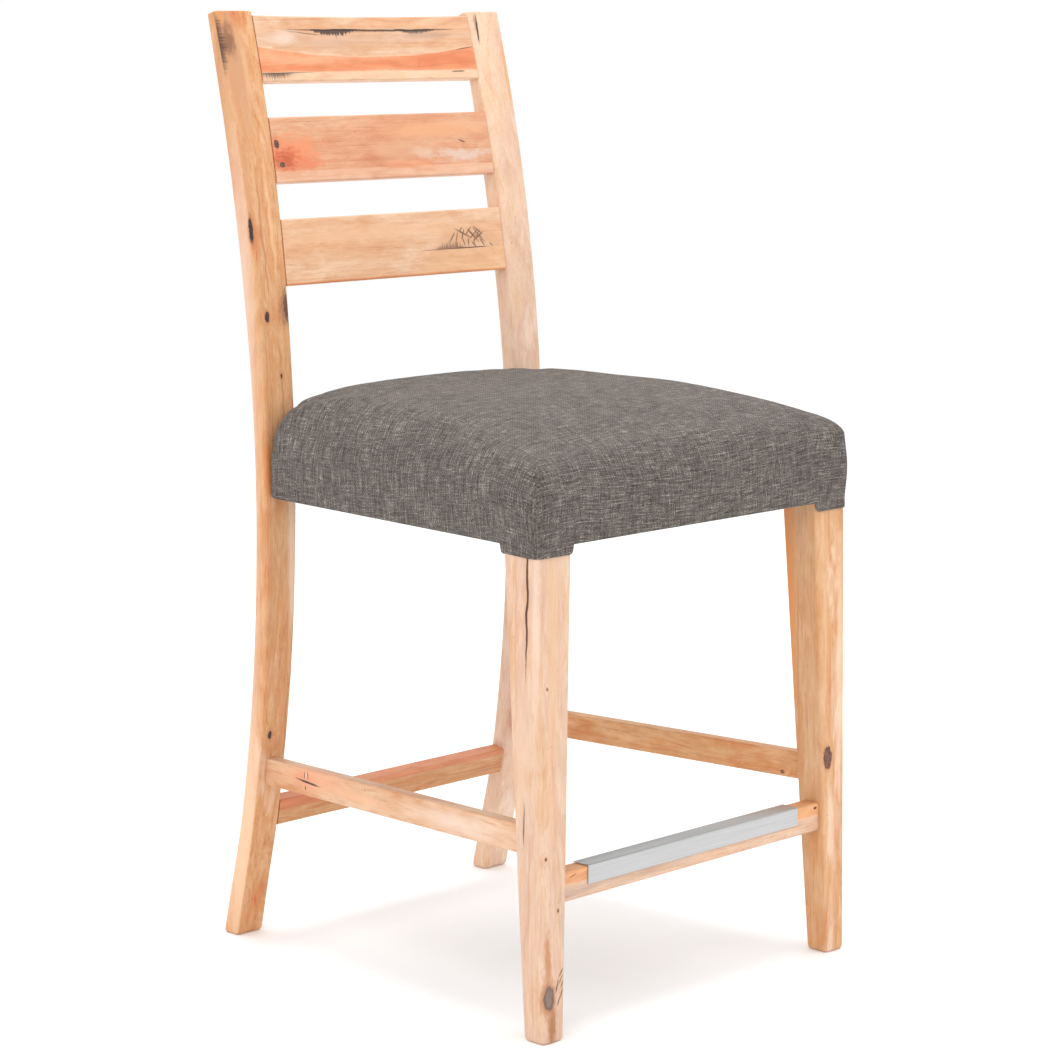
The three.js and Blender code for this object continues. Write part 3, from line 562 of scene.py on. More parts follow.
WOODS = {
    "front_leg_left": ("Z", 1.0, "pale", [
        stain((-242.6, -249.0, 460.0), (6, 5, 110), lin(226, 170, 128), strength=0.6),
        crack((-242.6, -250.0, 462.0), (5, 2.0, 92), (0.02, 0, 0), rough=0.35, grit=2.0, color=lin(84, 50, 34), wander=5.0, strength=1.0),
        crack((-242.6, -246.3, 231.0), (5, 1.5, 30), rough=0.4, color=lin(128, 96, 80), wander=3.0),
        crack((-242.6, -225.0, 380.0), (5, 1.0, 80), rough=0.5, color=lin(214, 160, 120), wander=4.0, strength=0.7),
        stain((-235.0, -274.0, 90.0), (6, 7, 38), lin(202, 138, 94), strength=0.9, rough=1.0, wander=6.0),
        stain((-230.0, -275.0, 22.0), (7.5, 8, 34), lin(180, 124, 80), strength=1.0, rough=1.1, wander=6.0),
        stain((-234.5, -275.0, 50.0), (14, 9, 30), lin(206, 148, 106), strength=0.8, rough=1.5, grit=4.0),
        knot((-234.0, -274.8, 49.0), (7.2, 9, 13.4), color=lin(146, 122, 108), second=lin(132, 108, 96), halo=1.55, halo_color=lin(178, 120, 82), rough=0.5, push=2.4),
        {"kind": "strokes", "at": (0, -274.5, 0), "size": (1, 1, 1), "strength": 0.95, "weight": 1.5, "color": lin(96, 66, 50),
         "lines": [(-212.5, 78.0, -219.5, 68.0, 0.9), (-219.5, 68.0, -224.0, 52.0, 1.0), (-212.0, 66.0, -217.0, 56.0, 0.7), (-213.0, 57.0, -219.0, 44.0, 0.8),
                   (-212.5, 72.0, -220.0, 60.0, 0.6), (-217.5, 49.0, -222.0, 38.0, 0.8)]},
        stain((-222.0, -268.0, 440.0), (12, 9, 150), SAND, strength=0.5),
        knot((-236.0, -271.0, 196.0), (1.6, 4, 2.2), color=lin(150, 100, 76), second=DARK, halo=2.4, halo_color=lin(216, 166, 130), rough=0.6),
        knot((-219.0, -272.0, 139.0), (1.5, 4, 2.0), color=lin(160, 110, 84), second=DARK, halo=2.4, halo_color=lin(216, 166, 130), rough=0.6),
        knot((-231.0, -268.0, 372.0), (1.3, 4, 1.8), color=lin(160, 110, 84), second=DARK, halo=2.4, halo_color=lin(216, 166, 130), rough=0.6),
        stain((-243.0, -262.0, 420.0), (4, 7, 150), lin(246, 214, 190), strength=0.6, rough=0.5, wander=5.0),
        stain((-243.0, -234.0, 420.0), (4, 3.0, 160), lin(222, 162, 118), strength=0.65, rough=0.6, wander=6.0),
        stain((-243.0, -240.0, 300.0), (4, 12, 90), lin(236, 196, 166), strength=0.6, rough=0.9, grit=10.0),
        stain((-226.0, -273.0, 300.0), (6, 8, 120), lin(232, 178, 134), strength=0.55, rough=1.0, wander=8.0),
    ]),
    "front_leg_right": ("Z", 2.2, "tan", [
        stain((197.0, -214.0, 430.0), (34, 25, 300), lin(236, 150, 80), strength=1.0, rough=0.25, wander=3.0),
        crack((202.0, -237.0, 330.0), (10, 1.6, 190), rough=0.5, color=lin(206, 136, 86), strength=0.7, wander=5.0),
        stain((222.0, -270.0, 440.0), (14, 6, 60), lin(250, 214, 184), strength=0.7, rough=1.6, grit=9.0),
        stain((218.0, -272.0, 150.0), (7, 6, 60), lin(248, 214, 186), strength=0.6, rough=1.6, grit=9.0),
        stain((214.0, -271.0, 226.0), (11, 8, 27), lin(214, 156, 108), strength=0.8, rough=0.8),
        knot((213.8, -270.8, 226.0), (7.4, 8, 13.5), color=lin(134, 82, 60), second=lin(74, 42, 32), halo=1.35, halo_color=lin(196, 128, 82), rough=0.75, grit=2.4, push=2.2),
        stain((235.0, -268.0, 330.0), (6, 8, 190), lin(250, 208, 170), strength=0.6),
    ]),
    "rear_post_left": ("Z", 3.1, "honey", [
        stain((-217.8, 222.0, 560.0), (2.2, 30, 470), PINK, strength=0.8, rough=0.3),
        stain((-217.8, 230.0, 120.0), (2.2, 44, 210), lin(246, 204, 168), strength=0.8, rough=0.3),
        stain((-181.0, 183.0, 470.0), (8, 5, 260), CREAM, strength=0.8, rough=0.3, wander=3.0),
        stain((-203.0, 245.0, 985.0), (22, 30, 110), lin(206, 152, 112), strength=0.9, rough=0.8, grit=12.0),
        stain((-207.0, 252.0, 1018.0), (12, 12, 28), lin(138, 94, 64), strength=0.9, rough=1.2, grit=6.0),
        stain((-190.0, 243.0, 985.0), (5, 14, 60), lin(226, 176, 132), strength=0.7, rough=0.8, wander=6.0),
        {"kind": "fringe", "at": (-218.0, 250.0, 1014.0), "size": (1, 1, 1), "run": "z", "sign": 1.0, "half": 40.0, "depth": 10.5, "tooth": 2.6, "least": 0.5,
         "line": 3.0, "color": lin(58, 36, 34), "front": POST_FACE, "wave": 2.0, "fade": 5.0},
        stain((-212.0, 220.0, 860.0), (6, 14, 120), lin(206, 148, 104), strength=0.6, rough=0.8, wander=8.0),
        stain((-208.0, 205.0, 700.0), (4, 22, 230), lin(206, 148, 100), strength=0.55, rough=0.8, wander=12.0),
        stain((-186.0, 205.0, 840.0), (3, 22, 130), lin(246, 194, 148), strength=0.6, rough=0.8, wander=9.0),
        stain((-186.0, 190.0, 300.0), (2.6, 14, 200), lin(212, 150, 100), strength=0.6, rough=0.8, wander=9.0),
        stain((-211.0, 190.0, 420.0), (2.2, 10, 180), lin(206, 146, 100), strength=0.6, rough=0.8, wander=9.0),
        crack((-200.0, 205.0, 800.0), (1.8, 16, 90), (-0.12, 0, 0), color=lin(188, 126, 82), rough=0.6, wander=9.0, strength=0.75),
        crack((-190.0, 188.0, 620.0), (1.5, 16, 90), color=lin(196, 134, 90), rough=0.6, wander=9.0, strength=0.7),
        crack((-206.0, 186.0, 560.0), (1.4, 10, 110), color=lin(200, 140, 96), rough=0.6, wander=9.0, strength=0.7),
        stain((-214.6, 206.0, 816.0), (5.5, 7, 26), lin(186, 124, 78), strength=0.85, rough=0.7),
        knot((-214.9, 205.8, 816.0), (2.9, 5.0, 18.5), color=lin(70, 44, 40), second=BLACK, halo=1.4, halo_color=lin(150, 94, 60), rough=0.8, grit=2.2, push=1.8),
        knot((-204.4, 194.0, 716.0), (3.2, 4.5, 6.4), color=lin(84, 48, 44), second=BLACK, halo=2.0, halo_color=lin(200, 132, 84), rough=0.7, grit=2.0),
        stain((-178.0, 197.0, 722.0), (10, 9, 28), lin(164, 112, 76), strength=0.9, rough=1.5, grit=3.0),
        crack((-175.5, 198.0, 722.0), (5.0, 7, 22), color=lin(88, 54, 40), rough=1.6, grit=2.4, strength=0.85),
        crack((-217.6, 229.6, 933.0), (3.0, 3.0, 5.0), color=DARK, rough=0.8),
        knot((-190.0, 186.0, 650.0), (1.8, 4.0, 4.5), color=lin(150, 92, 60), second=DARK, halo=2.8, halo_color=lin(206, 146, 100), rough=0.8),
        knot((-205.0, 196.4, 242.3), (2.8, 4.5, 5.2), color=lin(84, 48, 40), second=BLACK, halo=2.4, halo_color=lin(196, 132, 88), rough=0.5),
        crack((-183.0, 196.0, 270.0), (1.4, 8, 120), color=lin(190, 122, 76), rough=0.6, wander=6.0, strength=0.8),
    ]),
    "rear_post_right": ("Z", 4.3, "cream", [
        stain((177.0, 255.0, 1036.0), (4.5, 8, 16), lin(150, 106, 84), strength=0.65, rough=1.3, grit=4.0),
        crack((178.2, 254.6, 1030.0), (1.7, 7, 23), (-0.26, 0.06, 0), color=lin(74, 50, 42), rough=0.45, strength=1.0),
        stain((215.5, 243.0, 985.0), (4.6, 18, 80), lin(236, 162, 108), strength=0.9, rough=0.3),
        crack((212.0, 236.0, 975.0), (0.9, 18, 70), (-0.2, 0, 0), color=lin(200, 150, 112), rough=0.5, wander=3.0, strength=0.8),
        stain((196.0, 224.0, 880.0), (3, 6, 130), lin(238, 190, 156), strength=0.5, rough=0.4),
    ]),
    "back_rail_top": ("X", 5.2, "blush", [
        {"kind": "band", "at": (0, 0, 0), "size": (1, 1, 1), "low": (1013.0, 4.0, 6.0), "high": (1025.0, 0.0, 0.0), "soft": 6.0, "strength": 0.7, "color": lin(226, 188, 160), "wave": 5.0},
        {"kind": "band", "at": (0, 0, 0), "size": (1, 1, 1), "low": (982.4, 0.0, 0.0), "high": (997.5, -0.5, 12.0), "soft": 0.9, "strength": 0.93,
         "color": lin(244, 164, 118), "second": lin(232, 146, 100), "wave": 4.0},
        {"kind": "band", "at": (0, 0, 0), "size": (1, 1, 1), "low": (984.0, 0.0, 0.0), "high": (992.0, 8.0, 6.0), "soft": 3.0, "strength": 0.55,
         "color": lin(234, 138, 90), "second": lin(224, 128, 84), "wave": 12.0},
        {"kind": "band", "at": (0, 0, 0), "size": (1, 1, 1), "low": (997.7, -0.5, 12.0), "high": (999.2, -0.5, 12.0), "soft": 0.9, "strength": 0.7, "color": lin(250, 206, 170), "wave": 4.0},
        {"kind": "band", "at": (0, 0, 0), "size": (1, 1, 1), "low": (960.0, 0.0, 0.0), "high": (982.0, 0.0, 0.0), "soft": 0.5, "strength": 0.85, "color": lin(250, 212, 178), "second": lin(236, 188, 150)},
        {"kind": "band", "at": (0, 0, 0), "size": (1, 1, 1), "low": (1030.5, 0.0, 0.0), "high": (1043.5, 0.0, 0.0), "soft": 1.2, "strength": 0.6, "color": lin(244, 190, 146), "second": lin(226, 166, 124), "ends": (-60.0, 20.0, 200.0, 220.0)},
        stain((110.0, 246.0, 994.0), (70, 12, 9), lin(226, 128, 84), strength=0.6, rough=1.2, grit=9.0),
        stain((-100.0, 246.0, 996.0), (80, 12, 7), lin(248, 178, 134), strength=0.6, rough=1.2, grit=9.0),
        stain((-60.0, 252.0, 1012.0), (60, 12, 7), lin(214, 178, 152), strength=0.5, rough=1.2, grit=7.0),
        {"kind": "fringe", "at": (8.0, 0, 1028.6), "size": (1, 1, 1), "run": "x", "sign": -1.0, "half": 132.0, "depth": 2.3, "line": 0.9, "color": lin(58, 44, 40), "wave": 2.4, "least": 0.6},
        {"kind": "fringe", "at": (-50.0, 0, 1028.6), "size": (1, 1, 1), "run": "x", "sign": -1.0, "half": 37.0, "depth": 8.5, "least": 0.35, "line": 1.0, "color": lin(52, 40, 38), "wave": 2.4},
        {"kind": "fringe", "at": (76.0, 0, 1028.6), "size": (1, 1, 1), "run": "x", "sign": -1.0, "half": 34.0, "depth": 5.5, "least": 0.35, "line": 1.0, "color": lin(56, 44, 42), "wave": 2.4},
        crack((-96.0, 255.0, 1025.0), (34, 6, 1.0), (0, 0.10, 0), color=lin(120, 90, 74), rough=0.8, strength=0.7),
        stain((90.0, 255.0, 1022.0), (50, 8, 5), lin(190, 150, 126), strength=0.55, rough=1.0, grit=6.0),
        stain((-128.0, 256.0, 1018.0), (28, 8, 12), lin(240, 214, 198), strength=0.6, rough=1.0, grit=9.0),
        {"kind": "fringe", "at": (-146.0, 0, 981.4), "size": (1, 1, 1), "run": "x", "sign": -1.0, "half": 32.0, "depth": 11.5, "tooth": 1.6, "least": 0.35, "line": 0.5, "color": lin(86, 62, 52), "fade": 4.0},
        {"kind": "fringe", "at": (-128.0, 0, 981.6), "size": (1, 1, 1), "run": "x", "sign": -1.0, "half": 40.0, "depth": 1.4, "line": 0.5, "color": lin(74, 54, 46)},
        crack((151.0, 249.0, 1007.0), (22, 6, 0.8), (0, -0.12, 0), color=lin(120, 66, 50), rough=0.7, strength=0.75),
        crack((75.0, 246.0, 992.0), (1.6, 6, 13), (0, 0.3, 0), color=lin(206, 128, 92), rough=0.9, strength=0.6),
        crack((136.0, 242.0, 980.5), (15, 4, 1.2), color=DARK, rough=0.8, strength=0.8),
    ]),
    "back_rail_middle": ("X", 6.4, "rose", [
        {"kind": "band", "at": (0, 0, 0), "size": (1, 1, 1), "low": (850.0, 0.0, 0.0), "high": (873.5, 0.0, 0.0), "soft": 0.7, "strength": 0.72, "color": lin(246, 206, 176), "second": lin(238, 186, 152)},
        {"kind": "band", "at": (0, 0, 0), "size": (1, 1, 1), "low": (871.0, 0.0, 0.0), "high": (880.0, 1.0, 2.0), "soft": 1.5, "strength": 0.7, "color": lin(240, 168, 128), "ends": (-10.0, 10.0, 60.0, 90.0), "wave": 5.0},
        stain((-138.0, 224.0, 893.0), (48, 14, 24), lin(240, 152, 108), strength=0.9, rough=1.5, grit=7.0),
        stain((-148.0, 222.0, 888.0), (26, 12, 16), lin(226, 122, 76), strength=0.9, rough=1.9, grit=3.6),
        stain((-120.0, 222.0, 880.0), (34, 12, 9), lin(228, 132, 90), strength=0.7, rough=1.4, grit=5.0),
        stain((-152.0, 220.0, 886.0), (16, 12, 13), lin(196, 92, 54), strength=0.85, rough=2.0, grit=2.6),
        knot((-161.9, 225.3, 903.6), (3.6, 5, 5.0), color=lin(120, 76, 62), second=lin(66, 44, 44), halo=1.8, halo_color=lin(216, 128, 88), rough=1.1, grit=2.2),
        knot((-157.7, 220.7, 880.5), (4.2, 5, 3.4), color=lin(126, 92, 74), second=lin(70, 50, 48), halo=1.8, halo_color=lin(216, 118, 76), rough=1.1, grit=2.2),
        crack((122.8, 224.5, 899.8), (6.5, 4, 1.1), (0, 0.3, 0), color=lin(104, 76, 62), rough=0.4),
        stain((118.0, 220.0, 884.0), (56, 10, 9), lin(230, 206, 190), strength=0.8, rough=1.8, grit=6.0),
        stain((60.0, 220.0, 889.0), (26, 10, 8), lin(238, 208, 186), strength=0.7, rough=1.3, grit=9.0),
        stain((84.0, 230.0, 915.0), (100, 12, 12), lin(240, 176, 132), strength=0.75, rough=1.0, grit=12.0),
        stain((20.0, 222.0, 892.0), (50, 12, 14), lin(230, 178, 142), strength=0.6, rough=1.0, grit=12.0),
    ]),
    "back_rail_lower": ("X", 7.7, "blush", [
        stain((-10.0, 204.0, 800.0), (180, 14, 12), lin(240, 196, 158), strength=0.5, rough=0.8, grit=16.0),
        {"kind": "band", "at": (0, 0, 0), "size": (1, 1, 1), "low": (740.0, 0.0, 0.0), "high": (775.4, 0.0, 0.0), "soft": 0.8, "strength": 0.55, "color": lin(242, 194, 148), "second": lin(234, 182, 136), "ends": (30.0, 60.0, 300.0, 320.0)},
        stain((105.0, 204.0, 786.0), (56, 10, 15), lin(216, 166, 130), strength=0.6, rough=0.7, grit=7.0),
        {"kind": "strokes", "at": (0, 205.0, 0), "size": (1, 1, 1), "strength": 0.9, "weight": 1.9, "color": lin(104, 72, 52), "lines": HATCH},
        {"kind": "fringe", "at": (84.0, 0, 776.6), "size": (1, 1, 1), "run": "x", "sign": 1.0, "half": 27.0, "depth": 10.0, "tooth": 1.5, "least": 0.1, "line": 0.4,
         "color": lin(120, 84, 62), "fade": 2.0, "strength": 0.75, "wave": 0.6},
        crack((108.0, 203.0, 776.2), (50, 5, 0.9), color=lin(96, 62, 48), rough=0.4, grit=6.0, strength=0.95),
        crack((66.0, 203.0, 776.0), (34, 5, 0.7), color=lin(150, 104, 78), rough=0.4, grit=6.0, strength=0.8),
        {"kind": "band", "at": (0, 0, 0), "size": (1, 1, 1), "low": (700.0, 0.0, 0.0), "high": (750.6, 0.0, 0.0), "soft": 0.8, "strength": 0.8, "color": lin(228, 146, 92)},
    ]),
    "side_stretcher_left": ("Y", 8.3, "blush", [
        stain((-209.0, 110.0, 206.0), (12, 78, 18), lin(238, 172, 134), strength=0.9, rough=0.5, grit=12.0),
        stain((-213.0, 20.0, 200.0), (12, 60, 9), lin(240, 186, 146), strength=0.8, rough=1.4, grit=12.0),
        stain((-208.6, 130.0, 204.0), (6, 26, 11), lin(232, 150, 110), strength=0.7, rough=1.0, grit=6.0),
        crack((-208.8, 124.0, 201.0), (6, 27, 1.9), (0.06, 0, 0), color=lin(44, 30, 28), rough=0.6, grit=4.0, strength=1.0),
        crack((-208.2, 131.5, 209.0), (6, 1.2, 6.5), (0.12, 0, 0), color=lin(112, 74, 60), rough=0.7, grit=2.0),
        crack((-208.2, 126.0, 209.5), (6, 1.2, 6.5), (-0.12, 0, 0), color=lin(100, 66, 54), rough=0.7, grit=2.0),
        stain((-208.2, 128.8, 209.5), (6, 1.5, 5.0), lin(248, 226, 206), strength=0.9, rough=0.4, grit=2.0),
        crack((-208.4, 130.0, 194.0), (6, 1.4, 3.4), color=lin(80, 56, 48), rough=0.8, grit=2.0),
        stain((-221.0, -150.0, 206.0), (14, 110, 17), lin(244, 216, 196), strength=0.75, rough=0.7, grit=14.0),
    ]),
    "side_stretcher_right": ("Y", 9.1, "honey", [
        stain((212.0, 0.0, 186.5), (14, 260, 2.6), lin(222, 138, 84), strength=0.9, rough=0.5),
        stain((208.0, 40.0, 200.0), (12, 60, 10), lin(240, 192, 150), strength=0.7, rough=1.2, grit=10.0),
        knot((216.0, -204.5, 198.4), (6, 3.2, 2.4), color=lin(176, 116, 76), second=lin(120, 72, 48), halo=2.2, halo_color=lin(218, 158, 110), rough=0.6),
    ]),
    "rear_stretcher": ("X", 10.6, "honey", [
        {"kind": "band", "at": (0, 0, 0), "size": (1, 1, 1), "low": (147.0, 0.0, 0.0), "high": (175.0, 0.0, 0.0), "soft": 0.8, "strength": 0.85, "color": lin(228, 142, 100), "second": lin(210, 124, 84), "ends": (-400.0, -390.0, -122.0, -112.0)},
        {"kind": "band", "at": (0, 0, 0), "size": (1, 1, 1), "low": (153.0, 0.0, 0.0), "high": (175.0, 0.0, 0.0), "soft": 1.6, "strength": 0.8, "color": lin(238, 156, 114), "second": lin(228, 142, 102), "wave": 4.0},
    ]),
    "footrest_stretcher": ("X", 11.9, "pale", [
        {"kind": "band", "at": (0, 0, 0), "size": (1, 1, 1), "low": (161.4, 0.0, 0.0), "high": (200.0, 0.0, 0.0), "soft": 0.8, "strength": 0.85, "color": lin(246, 180, 122), "second": lin(226, 158, 104), "wave": 1.5},
        crack((199.7, -265.6, 169.7), (3.4, 3, 2.2), color=DARK, rough=0.7),
        crack((-190.0, -265.6, 169.0), (7, 3, 1.0), (0, -0.3, 0), color=lin(178, 110, 70), rough=0.7),
    ]),
}
GAIN = {
    "front_leg_left": (0.85, 0.87, 0.9),
    "front_leg_right": (0.89, 0.93, 0.98),
    "rear_post_left": (0.9, 0.9, 0.9),
    "rear_post_right": (0.93, 0.96, 0.98),
    "side_stretcher_right": (0.95, 0.94, 0.9),
    "back_rail_middle": (0.86, 0.84, 0.82),
    "back_rail_lower": (0.94, 0.93, 0.92),
    "rear_stretcher": (0.84, 0.82, 0.8),
}

BARS = {
    "front_leg_left": lambda: leg_mesh(-1),
    "front_leg_right": lambda: leg_mesh(1),
    "rear_post_left": lambda: post_mesh(-1),
    "rear_post_right": lambda: post_mesh(1),
    "back_rail_lower": lambda: cross_mesh(lambda t: slat_ring(748, 821, 14.5, 1.8, t), lambda z: post_inner(z) - 0.3),
    "back_rail_middle": lambda: cross_mesh(lambda t: slat_ring(861, 933, 14.5, 1.8, t), lambda z: post_inner(z) - 0.3),
    "back_rail_top": lambda: cross_mesh(lambda t: slat_ring(972, 1045, 14.5, 1.8, t, 1.8), lambda z: post_inner(z) - 0.3),
    "side_stretcher_left": lambda: side_mesh(-1),
    "side_stretcher_right": lambda: side_mesh(1),
    "rear_stretcher": lambda: cross_mesh(lambda t: slat_ring(129.5, 159.5, 18.5, 1.6, t), lambda z: post_inner(z) - 0.3),
    "footrest_stretcher": lambda: cross_mesh(
        lambda t: [(y, z) for y, z in rect_ring(DY - 265.8, DY - 244.8, 142.8, 174.6, 1.6)], lambda z: leg_inner(z) - 0.3),
}
for name, (axis, seed, palette, marks) in WOODS.items():
    v, f = BARS[name]()
    make("timber_" + name, v, f, timber("wood_" + name, axis, seed, palette, marks, contrast=CALM.get(name, 1.0), gain=GAIN.get(name, (0.87, 0.87, 0.87))), (name,), sharp=40)


# ------------------------------------------------------------------ seat
def crown(x, y):
    u = np.abs(x) / 240.0
    f = np.clip((-30.0 - y) / 236.0, 0, None)
    b = np.clip((y - 30.0) / 176.0, 0, None)
    edge = np.where(x < 0, 11.5, 8.0)
    shoulder = np.exp(-(((np.abs(x) - 196.0) / 44.0) ** 2) - (((y - 190.0) / 46.0) ** 2)) * np.where(x < 0, 9.0, 4.0)
    return 638.0 - shoulder - edge * u**2.6 - 31.0 * f**2.2 - 4.5 * b**2.2 - np.where(x < 0, 10.0, 4.0) * (u**3) * (b**3) - 4 * (u**5) * f**3 + 2.0 * (x / 200.0) * np.clip(b, 0, 1)


def spacing(i, length, count):
    """places of the samples along one edge: even, but close together where the front and sides carry the edge of a corner tab"""
    if i == 0:
        near = [(0, 0), (9, 46.5), (11, 48.9), (17, 52.2), (19, 55.0)]
        knots = near + [(count - k, length - t) for k, t in reversed(near)]
    elif i == 1:
        knots = [(0, 0), (9, 49.5), (11, 52.2), (17, 55.6), (19, 58.6), (count, length)]
    elif i == 7:
        knots = [(0, 0), (count - 19, length - 58.6), (count - 17, length - 55.6), (count - 11, length - 52.2), (count - 9, length - 49.5), (count, length)]
    else:
        knots = [(0, 0), (count, length)]
    k, t = zip(*knots)
    return np.interp(np.arange(count + 1), k, t)


def rounded_poly(corners, radii, counts):
    """closed outline with rounded corners, counts[i] samples from the middle of corner i to the middle of corner i + 1"""
    n = len(corners)
    arcs = []
    for i in range(n):
        p, c, q = (np.array(corners[(i + k) % n], float) for k in (-1, 0, 1))
        a, b = (p - c) / np.linalg.norm(p - c), (q - c) / np.linalg.norm(q - c)
        half = math.acos(np.clip(a @ b, -1, 1)) / 2
        r = radii[i]
        t = r / math.tan(half)
        mid = (a + b) / np.linalg.norm(a + b)
        o = c + mid * (r / math.sin(half))
        s, e = c + a * t - o, c + b * t - o
        pts = []
        for k in range(9):
            v = s * (1 - k / 8) + e * (k / 8)
            pts.append(o + v / max(np.linalg.norm(v), 1e-9) * r)
        arcs.append(pts)
    out = []
    for i in range(n):
        path = np.array(arcs[i][4:] + arcs[(i + 1) % n][:5])
        seg = np.r_[0, np.cumsum(np.linalg.norm(np.diff(path, axis=0), axis=1))]
        t = spacing(i, seg[-1], counts[i])[:-1]
        out.append(np.c_[np.interp(t, seg, path[:, 0]), np.interp(t, seg, path[:, 1])])
    return np.concatenate(out)


NX, NY, NB = 76, 72, (9, 5, 48)
COUNTS = [NX, NY, NB[0], NB[1], NB[2], NB[1], NB[0], NY]


def outline(i, r_front, r_back):
    fy, cy, ry, ty, th = -266.75, -213.5, 181.65, 205.65, 171.4
    fh, rh = 245.6, 213.6
    k = (fh - rh) / (ry - cy)
    side = lambda y: fh - i - k * max(y - cy, 0)
    yn, xn = ry - i * 0.9, th - i * 0.6
    cs = [(-(fh - i), fy + i), (fh - i, fy + i), (side(yn), yn), (xn, yn), (xn, ty - i), (-xn, ty - i), (-xn, yn), (-side(yn), yn)]
    return rounded_poly(cs, [r_front, r_front, r_back, 2.0, 2.5, 2.5, 2.0, r_back], COUNTS)


def step(a, b, v):
    t = np.clip((v - a) / (b - a), 0, 1)
    return t * t * (3 - 2 * t)


def out_of(ring):
    t = np.roll(ring, -1, 0) - np.roll(ring, 1, 0)
    t /= np.maximum(np.linalg.norm(t, axis=1), 1e-9)[:, None]
    return np.c_[t[:, 1], -t[:, 0]]


def varying(ins, r, rr):
    grid = np.linspace(0, 44, 12)
    stack = np.array([outline(g, r, rr) for g in grid])
    out = np.empty((stack.shape[1], 2))
    for i in range(stack.shape[1]):
        out[i, 0] = np.interp(ins[i], grid, stack[:, i, 0])
        out[i, 1] = np.interp(ins[i], grid, stack[:, i, 1])
    return out


